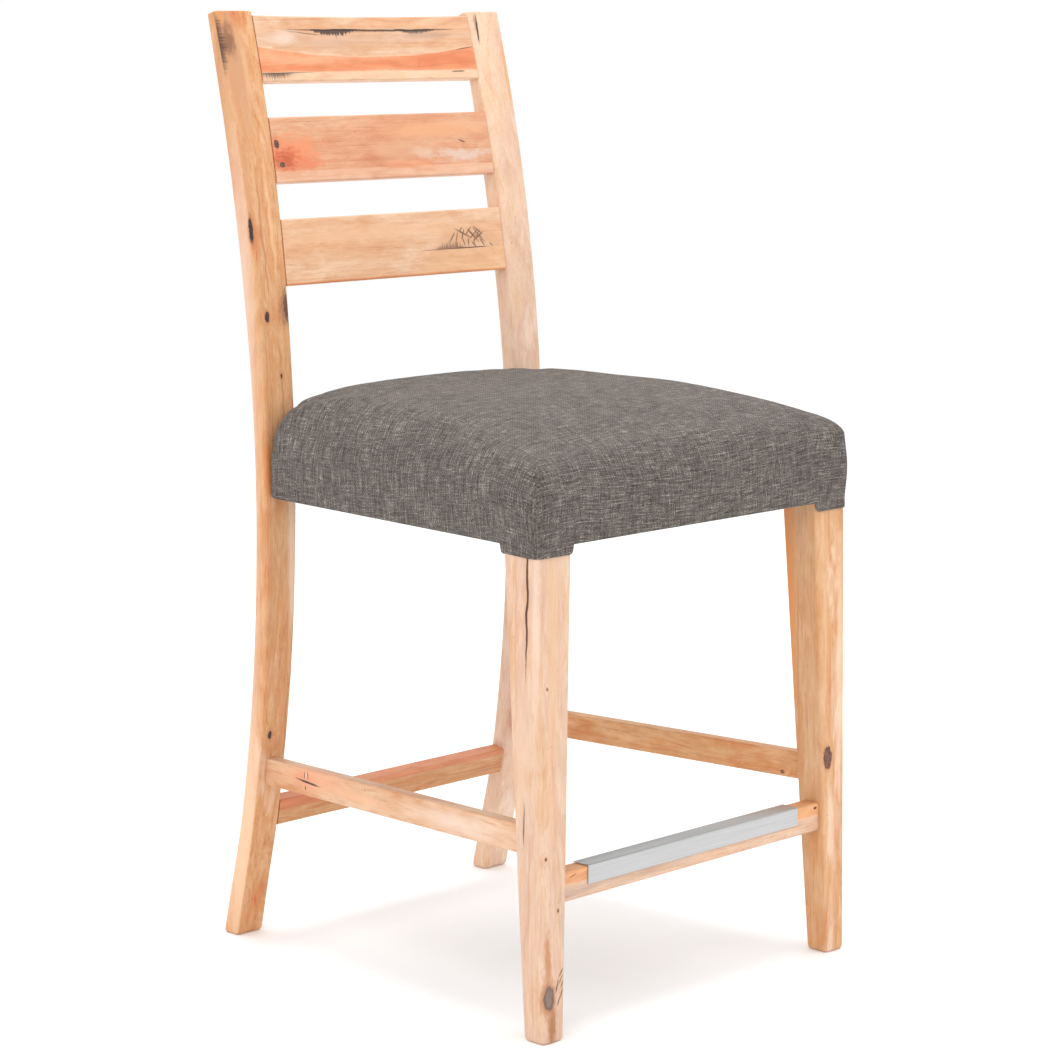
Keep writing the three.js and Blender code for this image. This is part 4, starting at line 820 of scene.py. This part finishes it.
def seat_mesh():
    """the whole padded seat as one closed form, shut underneath by one face against the board where the frame sits;
    returns verts, faces, face tags, the rings and the ring length
    """
    base = outline(0, 7, 4)
    x, y = base[:, 0], base[:, 1]
    front = step(-150, -262, y)
    corner = step(150, 235, np.abs(x)) * step(-150, -240, y)
    leg = 193.6
    on_front = y < -258
    tab = np.where(on_front, step(leg - 1.3, leg + 0.5, np.abs(x)), step(-209.6, -211.4, y))
    bottom = 516.0 - 10.0 * tab
    dist = np.where(on_front, np.abs(x) - leg, -210.6 - y)
    bottom = bottom + 2.6 * np.clip(1 - dist / 3.6, 0, 1) ** 2 * (dist > 0.4)
    soft = (np.roll(bottom, 1) + np.roll(bottom, -1)) / 2
    bottom = np.where(tab > 0.02, bottom * 0.7 + soft * 0.3, bottom)
    zv = 572 + 6 * front + 12 * corner
    rear_side = step(-60, 120, y)
    rh = 37 - 9 * front - 9 * corner + np.where(x < 0, 9, 2) * rear_side - np.where(x < 0, 15, 8) * step(90, 178, y)
    zv = zv - np.where(x < 0, 6, 0) * rear_side * (1 - step(120, 175, y))
    rh = np.where((y > 180) & (np.abs(x) > 168), 25.0, rh)
    rh = np.where((y > 200) & (np.abs(x) < 168), 30.0, rh)
    for _ in range(14):
        rh = (np.roll(rh, 1) + 2 * rh + np.roll(rh, -1)) / 4
    n = len(base)
    rings = []
    # under the hem: inner wall going up to the board, then the rolled lower edge
    hem = [(2.6, 578.6), (2.6, 560.0), (2.6, 540.0), (2.4, None, 9.0), (2.3, None, 3.0), (1.9, None, 0.9), (1.1, None, 0.1), (0.35, None, 0.25)]
    for h in hem:
        ring = outline(h[0], 6, 4)
        z = np.full(n, h[1]) if h[1] is not None else bottom + h[2]
        rings.append(np.c_[ring, z])
    m = 16
    for k in range(m + 1):
        t = k / m
        z = bottom + 1.0 + (zv - bottom - 1.0) * t
        zz = np.clip((z - 506) / 70, 0, 1)
        swell = (2.6 + 3.4 * corner) * np.sin(zz * math.pi * 0.6) - 1.4 * (1 - zz) * corner
        swell = np.where((y > 180), np.minimum(swell, 0.4), swell)
        swell = np.where(z < 524, np.maximum(swell, 0.7 * corner), swell)
        ring = outline(0, 7 + 11 * t, 3 + 8 * float(step(0.9, 1.0, t)))
        rings.append(np.c_[ring + out_of(ring) * swell[:, None], z])
    arcs = 12
    inner = varying(rh, 32, 28)
    z_in = crown(inner[:, 0], inner[:, 1])
    lift = np.where(y > 180, 0.4, (2.6 + 3.4 * corner) * math.sin(math.pi * 0.6))
    for k in range(1, arcs + 1):
        th = math.pi / 2 * k / arcs
        ring = varying(rh * (1 - math.cos(th)), 18 + 14 * (1 - math.cos(th)), 11 + 17 * (1 - math.cos(th)))
        rings.append(np.c_[ring + out_of(ring) * (lift * (1 - k / arcs))[:, None], zv + (z_in - zv) * math.sin(th) ** 1.05])
    verts = np.concatenate(rings)
    nr = len(rings)
    faces, tags = [], []
    for i in range(nr - 1):
        for j in range(n):
            k = (j + 1) % n
            faces.append((i * n + j, i * n + k, (i + 1) * n + k, (i + 1) * n + j))
            tags.append(j)
    # the top: a grid stretched between the four sides of the last ring
    last = rings[-1]
    nb = 2 * (NB[0] + NB[1]) + NB[2]
    idx = (nr - 1) * n + np.arange(n)
    fr = idx[0:NX + 1]
    rt = idx[NX:NX + NY + 1]
    bk = idx[NX + NY:NX + NY + nb + 1][::-1]
    lf = np.r_[idx[NX + NY + nb:], idx[:1]][::-1]
    V = lambda a: verts[a]
    assert len(fr) == NX + 1 and len(bk) == nb + 1 and nb == NX
    ids = np.full((NY + 1, NX + 1), -1, int)
    ids[0], ids[-1], ids[:, 0], ids[:, -1] = fr, bk, lf, rt
    extra, base_count = [], len(verts)
    for a in range(1, NY):
        for b in range(1, NX):
            s, t = b / NX, a / NY
            p = (1 - t) * V(fr[b]) + t * V(bk[b]) + (1 - s) * V(lf[a]) + s * V(rt[a])
            p = p - ((1 - s) * (1 - t) * V(fr[0]) + s * (1 - t) * V(fr[-1]) + (1 - s) * t * V(bk[0]) + s * t * V(bk[-1]))
            p[2] = crown(p[0], p[1])
            ids[a, b] = base_count + len(extra)
            extra.append(p)
    verts = np.concatenate([verts, np.array(extra)])
    for a in range(NY):
        for b in range(NX):
            faces.append((ids[a, b], ids[a, b + 1], ids[a + 1, b + 1], ids[a + 1, b]))
            tags.append(-1)
    # close the underside against the board
    cap = tuple(int(v) for v in range(n))
    faces.append(cap)
    tags.append(-2)
    return verts, faces, tags, rings, n


def cloth_uv(verts, faces, tags, rings, n):
    """flat cloth coordinates in mm for each face corner: the top is laid in plan, each side hangs from its edge"""
    nr = len(rings)
    stack = np.array(rings)
    seg = np.linalg.norm(np.diff(stack, axis=0), axis=2)
    down = np.zeros((nr, n))
    for i in range(nr - 2, -1, -1):
        down[i] = down[i + 1] + seg[i]
    edge = stack[-1][:, :2]
    wall = stack[16][:, :2]
    run = np.r_[0, np.cumsum(np.linalg.norm(np.diff(np.r_[wall, wall[:1]], axis=0), axis=1))]
    mid = wall.copy()
    mid_next = wall.copy()
    marks = [(0, NX, 0, 1.0), (NX, NX + NY, 1, 1.0), (NX + NY, NX + NY + 2 * (NB[0] + NB[1]) + NB[2], 0, -1.0), (NX + NY + 2 * (NB[0] + NB[1]) + NB[2], n, 1, -1.0)]
    laid = {}
    for a, b, axis, sign in marks:
        m = (a + b) // 2
        for j in range(a, b + 1):
            laid[(a, j % n)] = wall[m % n, axis] + sign * (run[j] - run[m])
    q1, q2, q3, q4 = NX, NX + NY, NX + NY + 2 * (NB[0] + NB[1]) + NB[2], n
    uv = []
    for f, tag in zip(faces, tags):
        if tag == -2:
            uv.append([(0, 0)] * len(f))
            continue
        row = []
        for vi in f:
            if tag == -1 or vi >= nr * n:
                row.append((verts[vi][0], verts[vi][1]))
                continue
            i, j = divmod(int(vi), n)
            d = down[i, j]
            ex, ey = edge[j]
            bx, by = mid[j]
            g = min(d / 60.0, 1.0)
            if tag < q1:
                row.append((ex + (laid[(0, j)] - ex) * g, ey - d))
            elif tag < q2:
                row.append((ex + d, ey + (laid[(q1, j)] - ey) * g))
            elif tag < q3:
                row.append((ex + (laid[(q2, j)] - ex) * g, ey + d))
            else:
                row.append((ex - d, ey + (laid[(q3, j)] - ey) * g))
        uv.append(row)
    return uv


def weave(name):
    """coarse plain weave of mixed grey threads with slubs, laid along the flat cloth coordinates"""
    g = Nodes(name)
    n = g.t.nodes.new("ShaderNodeUVMap")
    n.uv_map = "cloth"
    p = g.vec("SCALE", n.outputs[0], scale=1000.0)
    wob = g.noise(g.vec("MULTIPLY", p, (1 / 40, 1 / 40, 1)), detail=2)
    wob2 = g.noise(g.vec("ADD", g.vec("MULTIPLY", p, (1 / 46, 1 / 46, 1)), (31.0, 7.0, 0)), detail=2)
    u, v, _ = g.xyz(p)
    u = g.add(u, g.mul(g.add(wob, -0.5), 2.6))
    v = g.add(v, g.mul(g.add(wob2, -0.5), 2.6))
    pitch = 1.75
    iu, iv = g.math("FLOOR", g.mul(u, 1 / pitch)), g.math("FLOOR", g.mul(v, 1 / pitch))
    fu = g.math("ABSOLUTE", g.add(g.math("FRACT", g.mul(u, 1 / pitch)), -0.5))
    fv = g.math("ABSOLUTE", g.add(g.math("FRACT", g.mul(v, 1 / pitch)), -0.5))
    check = g.math("MODULO", g.math("ABSOLUTE", g.add(iu, iv)), 2.0)
    over_ = g.math("GREATER_THAN", check, 0.5)

    def pick(a, b):
        return g.math("ADD", g.mul(over_, a), g.mul(g.math("SUBTRACT", 1.0, over_), b))

    # each thread has its own tone, which changes along it
    warp = g.noise(g.join(g.mul(iu, 7.31), g.mul(v, 1 / 20), 3.0), detail=2.5, rough=0.65)
    weft = g.noise(g.join(g.mul(u, 1 / 16), g.mul(iv, 6.17), 9.0), detail=2.5, rough=0.65)
    slub_w = g.noise(g.join(g.mul(u, 1 / 1.5), g.mul(v, 1 / 24), 4.0), detail=2, rough=0.6)
    slub_f = g.noise(g.join(g.mul(u, 1 / 30), g.mul(v, 1 / 1.6), 14.0), detail=2, rough=0.6)
    cell = g.noise(g.join(g.mul(iu, 3.73), g.mul(iv, 5.19), 21.0), detail=0.0)
    tone = pick(weft, warp)
    hair = g.noise(g.vec("MULTIPLY", p, (1 / 0.8, 1 / 0.8, 1)), detail=2, rough=0.7)
    fac = g.add(g.mul(g.add(tone, -0.5), 1.55), g.mul(g.add(cell, -0.5), 0.45))
    fac = g.add(fac, g.mul(g.add(slub_f, -0.5), 1.3))
    fac = g.add(fac, g.mul(g.add(slub_w, -0.5), 0.75))
    fac = g.add(fac, g.mul(g.add(hair, -0.5), 0.4))
    fac = g.math("ADD", fac, 0.52, clamp=True)
    col = g.ramp(fac, [(0.0, lin(52, 46, 43)), (0.28, lin(86, 78, 74)), (0.5, lin(110, 102, 97)), (0.74, lin(138, 130, 123)), (1.0, lin(182, 174, 164))])
    # painted shade: the colour darkens at the sides of each thread and where it dives under the next, where shade falls
    # between the threads
    thread_edge_shade = g.math("MAXIMUM", g.range(fu, 0.3, 0.5), g.range(fv, 0.3, 0.5))
    col = g.mix(g.mul(thread_edge_shade, 0.5), col, lin(54, 48, 45), "MIX")
    broad = g.noise(g.vec("MULTIPLY", p, (1 / 90, 1 / 70, 1)), detail=2)
    col = g.mix(1.0, col, g.ramp(broad, [(0.3, lin(240, 238, 236)), (0.7, lin(255, 254, 252))]), "MULTIPLY")
    g.put(g.bsdf.inputs["Base Color"], col)
    g.bsdf.inputs["Roughness"].default_value = 0.92
    g.bsdf.inputs["Specular IOR Level"].default_value = 0.12
    g.bsdf.inputs["Sheen Weight"].default_value = 0.12
    g.bsdf.inputs["Sheen Roughness"].default_value = 0.5
    round_u = g.range(fu, 0.0, 0.5, 1.0, 0.0)
    round_v = g.range(fv, 0.0, 0.5, 1.0, 0.0)
    height = g.add(g.mul(pick(round_v, round_u), 0.9), g.mul(g.add(slub_f, slub_w), 0.5))
    height = g.add(height, g.mul(hair, 0.3))
    g.bump(height, 0.85, 0.0007)
    return g.mat


def make_seat():
    verts, faces, tags, rings, n = seat_mesh()
    uv = cloth_uv(verts, faces, tags, rings, n)
    me = bpy.data.meshes.new("seat_cushion")
    me.from_pydata([tuple(v * MM for v in p) for p in verts.tolist()], [], faces)
    layer = me.uv_layers.new(name="cloth")
    flat = [c for row in uv for c in row]
    layer.data.foreach_set("uv", [float(c) * MM for pair in flat for c in pair])
    me.polygons.foreach_set("use_smooth", [True] * len(me.polygons))
    me.update()
    ob = bpy.data.objects.new("seat_cushion", me)
    scene.collection.objects.link(ob)
    start = verts.copy()
    settle(ob, start, n, len(rings))
    co = np.empty(len(me.vertices) * 3)
    me.vertices.foreach_get("co", co)
    co = co.reshape(-1, 3) / MM
    co = crease(co, start, rings, n)
    me.vertices.foreach_set("co", (co * MM).ravel())
    me.update()
    import bmesh
    bm = bmesh.new()
    bm.from_mesh(me)
    bmesh.ops.recalc_face_normals(bm, faces=bm.faces)
    bm.to_mesh(me)
    bm.free()
    me.set_sharp_from_angle(angle=math.radians(75))
    me.materials.append(weave("woven_cloth"))
    finer = ob.modifiers.new("finer", "SUBSURF")
    finer.levels = finer.render_levels = 1
    finer.uv_smooth = "PRESERVE_BOUNDARIES"
    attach(ob, "root")
    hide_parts("seat_cover", "seat_foam")
    return ob


def settle(ob, start, n, nr):
    """the cover pulled down over the foam: pressure swells the pad while the hem is held, and no point moves far"""
    me = ob.data
    held = ob.vertex_groups.new(name="held")
    low = [i for i, p in enumerate(start) if p[2] < 545 or (i < 9 * n)]
    mid = [i for i, p in enumerate(start) if 545 <= p[2] < 575 and i >= 9 * n]
    held.add(low, 1.0, "REPLACE")
    held.add(mid, 0.35, "REPLACE")
    post = [i for i, p in enumerate(start) if p[1] > 176 and abs(p[0]) > 166]
    held.add(post, 1.0, "REPLACE")
    mod = ob.modifiers.new("pull", "CLOTH")
    s = mod.settings
    s.quality = 6
    s.mass = 0.3
    s.tension_stiffness = 22
    s.compression_stiffness = 22
    s.shear_stiffness = 8
    s.bending_stiffness = 1.2
    s.use_pressure = True
    s.uniform_pressure_force = 4.0
    s.vertex_group_mass = "held"
    s.effector_weights.gravity = 0.0
    mod.collision_settings.use_collision = False
    mod.collision_settings.use_self_collision = False
    mod.point_cache.frame_start = 1
    mod.point_cache.frame_end = 20
    for k in range(1, 21):
        scene.frame_set(k)
    shown = ob.evaluated_get(bpy.context.evaluated_depsgraph_get())
    got = shown.to_mesh()
    co = np.empty(len(got.vertices) * 3)
    got.vertices.foreach_get("co", co)
    shown.to_mesh_clear()
    ob.modifiers.remove(mod)
    scene.frame_set(1)
    co = co.reshape(-1, 3) / MM
    move = co - start
    size = np.linalg.norm(move, axis=1)
    cap = 5.0
    move *= (cap * np.tanh(size / cap) / np.maximum(size, 1e-9))[:, None]
    me.vertices.foreach_set("co", ((start + move * 0.55) * MM).ravel())


def crease(co, start, rings, n):
    """soft pulls where the cover is folded round the corners and drawn down to the hem"""
    out = co.copy()
    for i, p in enumerate(start):
        x, y, z = p
        if z > 632 or i < 8 * n:
            continue
        near = math.hypot(abs(x) - 246, y + 267)
        wide = math.exp(-((near / 60.0) ** 2)) if y < -150 else 0.0
        low = max(0.0, min(1.0, (590 - z) / 60.0))
        a = math.atan2(y + 267, abs(x) - 246)
        wave = 0.7 * math.sin(a * 7.0 + z / 17.0) * wide * low
        soft = 0.8 * noise.noise(Vector((x / 62.0, y / 62.0, z / 48.0)))
        small = 0.25 * noise.noise(Vector((x / 19.0 + 7, y / 19.0, z / 23.0)))
        top = z > 600
        if top:
            out[i, 2] += soft + small * 0.6
        else:
            d = Vector((x, y + 20, 0)).normalized()
            k = (wave + soft * 0.5 + small) * (1.0 if z > 524 else 0.35)
            if z < 562 and y < -205 and abs(x) > 188:
                k = max(k, -0.1)
            if y > 176 and abs(x) > 166:
                k = min(k, 0.0)
            out[i, 0] += d.x * k
            out[i, 1] += d.y * k
    return out


seat = make_seat()


# ------------------------------------------------------------------ footrest cap
def cap_mesh():
    sheet, half = 1.2, 168.2
    fy, tz = DY - 265.8 - 0.3, 174.6 + 0.3
    yo, zo = fy - sheet, tz + sheet
    back, low = DY - 245.0, 155.6
    r = 1.9
    sect = [(yo + 0.25, low), (yo, low + 0.25), (yo, low + 2), (yo, (low + zo) / 2), (yo, zo - r - 1.2)]
    sect += [(yo + r - r * math.cos(math.radians(a)), zo - r + r * math.sin(math.radians(a))) for a in (0, 15, 30, 45, 60, 75, 90)]
    sect += [(yo + r + 1.2, zo), ((yo + back) / 2, zo), (back - 2, zo), (back - 0.25, zo), (back, zo - 0.25), (back, tz + 0.25), (back - 0.25, tz)]
    ri = r - sheet
    sect += [((yo + back) / 2, tz), (fy + ri, tz)]
    sect += [(fy + ri - ri * math.sin(math.radians(a)), tz - ri + ri * math.cos(math.radians(a))) for a in (30, 60)]
    sect += [(fy, tz - ri), (fy, (low + zo) / 2), (fy, low + 0.25), (fy - 0.25, low)]
    rings = []
    for x, g in [(-half, 0.22), (-half + 0.25, 0.0)] + [(v, 0.0) for v in np.linspace(-half + 4, half - 4, 30)] + [(half - 0.25, 0.0), (half, 0.22)]:
        c = np.array([(yo + fy) / 2, (tz + zo) / 2])
        ring = []
        for y, z in sect:
            if g:
                # the cut ends are eased towards the middle of the sheet
                ny = (fy + yo) / 2 if z < tz - ri else y
                nz = (tz + zo) / 2 if y > fy + ri else z
                d = math.hypot(ny - y, nz - z) or 1.0
                y, z = y + (ny - y) / d * g, z + (nz - z) / d * g
            ring.append((x, y, z))
        rings.append(ring)
    v, f = loft(rings)
    return v, outward(v, f)


def metal(name):
    g = Nodes(name)
    p = g.position()
    line = g.noise(g.vec("MULTIPLY", p, (1 / 90, 1 / 0.35, 1 / 0.35)), detail=3, rough=0.6)
    broad = g.noise(g.vec("MULTIPLY", p, (1 / 60, 1 / 14, 1 / 14)), detail=2)
    scuff = g.noise(g.vec("MULTIPLY", p, (1 / 7, 1 / 1.2, 1 / 1.2)), detail=3, rough=0.7)
    col = g.ramp(line, [(0.3, lin(174, 175, 175)), (0.7, lin(200, 201, 201))])
    col = g.mix(g.range(scuff, 0.66, 0.8, 0.0, 0.25), col, lin(170, 170, 168))
    g.put(g.bsdf.inputs["Base Color"], col)
    g.bsdf.inputs["Metallic"].default_value = 1.0
    rough = g.add(g.range(line, 0.3, 0.7, 0.36, 0.46), g.mul(g.add(broad, -0.5), 0.08))
    g.put(g.bsdf.inputs["Roughness"], rough)
    g.bsdf.inputs["Anisotropic"].default_value = 0.35
    g.bump(line, 0.16, 0.0002)
    return g.mat


v, f = cap_mesh()
make("footrest_cap_plate", v, f, metal("satin_metal"), ("footrest_cap",), sharp=40)


# ------------------------------------------------------------------ dust cloth under the seat
def lining(name):
    g = Nodes(name)
    p = g.position()
    spot = g.cells(g.vec("MULTIPLY", p, (1 / 1.6, 1 / 1.6, 1 / 1.6)), out="Distance")
    strand = g.noise(g.vec("MULTIPLY", p, (1 / 2.2, 1 / 0.6, 1)), detail=3, rough=0.7)
    broad = g.noise(g.vec("MULTIPLY", p, (1 / 80, 1 / 60, 1)), detail=2)
    col = g.ramp(g.add(g.mul(strand, 0.7), g.mul(broad, 0.3)), [(0.3, lin(24, 24, 25)), (0.7, lin(48, 47, 48))])
    col = g.mix(g.range(spot, 0.15, 0.3, 0.5, 0.0), col, lin(16, 16, 17))
    g.put(g.bsdf.inputs["Base Color"], col)
    g.bsdf.inputs["Roughness"].default_value = 0.9
    g.bsdf.inputs["Specular IOR Level"].default_value = 0.2
    g.bump(g.add(strand, g.range(spot, 0.1, 0.35, 0.0, 1.0)), 0.5, 0.0004)
    return g.mat


def dust_mesh():
    nx, ny = 64, 60
    low, up_ = 516.5, 517.5
    f, h0 = DY - 267.2 + 3.3, 245.6 - 3.3
    rows = []
    inner_leg = leg_inner(516) - 1.2
    back_leg = leg_back(516) + 1.2
    # width of the sheet in plan at y, with room cut for the legs and posts
    def half(y):
        w = h0 if y < -213.5 else h0 - 32 * (y + 213.5) / 395.15
        if y < back_leg:
            w = inner_leg
        if y > 181.2 + DY - 3.3:
            w = 171.4 - 3.3
        return w
    ys = sorted(set(list(np.linspace(f, 205.2 + DY - 3.3, ny)) + [back_leg - 0.01, back_leg + 0.01, 181.2 + DY - 3.31, 181.2 + DY - 3.29]))
    grid = []
    for y in ys:
        w = half(y)
        row = []
        for k in range(nx + 1):
            x = -w + 2 * w * k / nx
            inside = max(0.0, 1 - (abs(x) / 205) ** 4) * max(0.0, 1 - (abs(y + 30) / 205) ** 4)
            row.append((x, y, inside * 3.2 + 0.35 * noise.noise(Vector((x / 42, y / 42, 2.0))) * inside))
        grid.append(row)
    verts = [(x, y, low - s * 0.0 + 0.0 * s) for row in grid for x, y, s in row]
    # the middle hangs a little below its stapled edge, and stays above the tabs of the cover
    verts = [(x, y, low - s) for row in grid for x, y, s in row] + [(x, y, up_ - s) for row in grid for x, y, s in row]
    k = nx + 1
    r = len(grid)
    faces = []
    off = r * k
    for i in range(r - 1):
        for j in range(nx):
            a = i * k + j
            faces.append((a, a + k, a + k + 1, a + 1))
            faces.append((off + a, off + a + 1, off + a + k + 1, off + a + k))
    edge = [j for j in range(nx)] 
    for j in range(nx):
        faces.append((j, j + 1, off + j + 1, off + j))
        b = (r - 1) * k + j
        faces.append((b + 1, b, off + b, off + b + 1))
    for i in range(r - 1):
        a = i * k
        faces.append((a + k, a, off + a, off + a + k))
        b = i * k + nx
        faces.append((b, b + k, off + b + k, off + b))
    return verts, outward(verts, faces)


v, f = dust_mesh()
dust = make("dust_lining", v, f, lining("black_lining"), ("dust_cloth",), sharp=40)


# ------------------------------------------------------------------ hidden CAD pieces keep their shape and take a proper finish
def plain_timber(name, axis, seed):
    return timber(name, axis, seed, "tan", fleck=0.2, contrast=0.7)


def zinc(name):
    g = Nodes(name)
    p = g.position()
    blot = g.noise(g.vec("MULTIPLY", p, (1 / 2.4, 1 / 2.4, 1 / 2.4)), detail=3, rough=0.6)
    g.put(g.bsdf.inputs["Base Color"], g.ramp(blot, [(0.3, lin(176, 158, 92)), (0.7, lin(206, 190, 132))]))
    g.bsdf.inputs["Metallic"].default_value = 1.0
    g.put(g.bsdf.inputs["Roughness"], g.range(blot, 0.3, 0.7, 0.3, 0.44))
    return g.mat


def ply(name):
    g = Nodes(name)
    p = g.position()
    _, _, z = g.xyz(p)
    layer = g.math("PINGPONG", z, 1.5)
    grain = g.noise(g.vec("MULTIPLY", p, (1 / 3.5, 1 / 90, 1 / 3.5)), detail=3, rough=0.6)
    col = g.ramp(grain, [(0.3, lin(196, 158, 110)), (0.7, lin(222, 188, 142))])
    col = g.mix(g.range(layer, 0.6, 0.9, 0.0, 0.25), col, lin(150, 112, 74))
    g.put(g.bsdf.inputs["Base Color"], col)
    g.bsdf.inputs["Roughness"].default_value = 0.75
    g.bump(grain, 0.2, 0.0003)
    return g.mat


shared = {
    "x": plain_timber("frame_wood_x", "X", 14.0),
    "y": plain_timber("frame_wood_y", "Y", 15.0),
    "zinc": zinc("yellow_zinc"),
    "ply": ply("plywood"),
}
replaced = set()
for name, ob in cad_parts.items():
    if ob.hide_render:
        continue
    kind = "zinc" if name.startswith("screw_") else "ply" if name == "seat_board" else "x" if name in ("seat_rail_front", "seat_rail_rear") else "y"
    if not ob.material_slots:
        ob.data.materials.append(shared[kind])
    for s in ob.material_slots:
        s.material = shared[kind]


# ------------------------------------------------------------------ floor and light
def floor_material():
    g = Nodes("floor")
    p = g.position()
    n = g.noise(g.vec("MULTIPLY", p, (1 / 600, 1 / 600, 1 / 600)), detail=3)
    g.put(g.bsdf.inputs["Base Color"], g.ramp(n, [(0.3, lin(252, 252, 252)), (0.7, lin(254, 254, 254))]))
    g.bsdf.inputs["Roughness"].default_value = 0.9
    g.bsdf.inputs["Specular IOR Level"].default_value = 0.1
    return g.mat


me = bpy.data.meshes.new("floor")
s = 60.0
me.from_pydata([(-s, -s, 0), (s, -s, 0), (s, s, 0), (-s, s, 0)], [], [(0, 1, 2, 3)])
floor = bpy.data.objects.new("floor", me)
scene.collection.objects.link(floor)
me.materials.append(floor_material())

world = bpy.data.worlds.new("studio")
world.use_nodes = True
bg = world.node_tree.nodes["Background"]
bg.inputs["Color"].default_value = (1.0, 1.0, 1.0, 1.0)
bg.inputs["Strength"].default_value = 1.02
scene.world = world


def soft_box(name, place, aim, size, power):
    data = bpy.data.lights.new(name, "AREA")
    data.shape = "RECTANGLE"
    data.size, data.size_y = size
    data.energy = power
    ob = bpy.data.objects.new(name, data)
    scene.collection.objects.link(ob)
    ob.location = place
    ob.rotation_euler = (Vector(aim) - Vector(place)).to_track_quat("-Z", "Y").to_euler()
    return ob


soft_box("key", (-2.6, -1.4, 2.6), (0, 0, 0.6), (1.8, 1.8), 26)
soft_box("fill", (1.6, -3.0, 1.8), (0, 0, 0.5), (2.2, 2.2), 12)
soft_box("top", (0.2, 0.3, 3.4), (0, 0, 0.5), (2.4, 2.4), 48)
scene.view_settings.view_transform = "Standard"
scene.view_settings.look = "None"
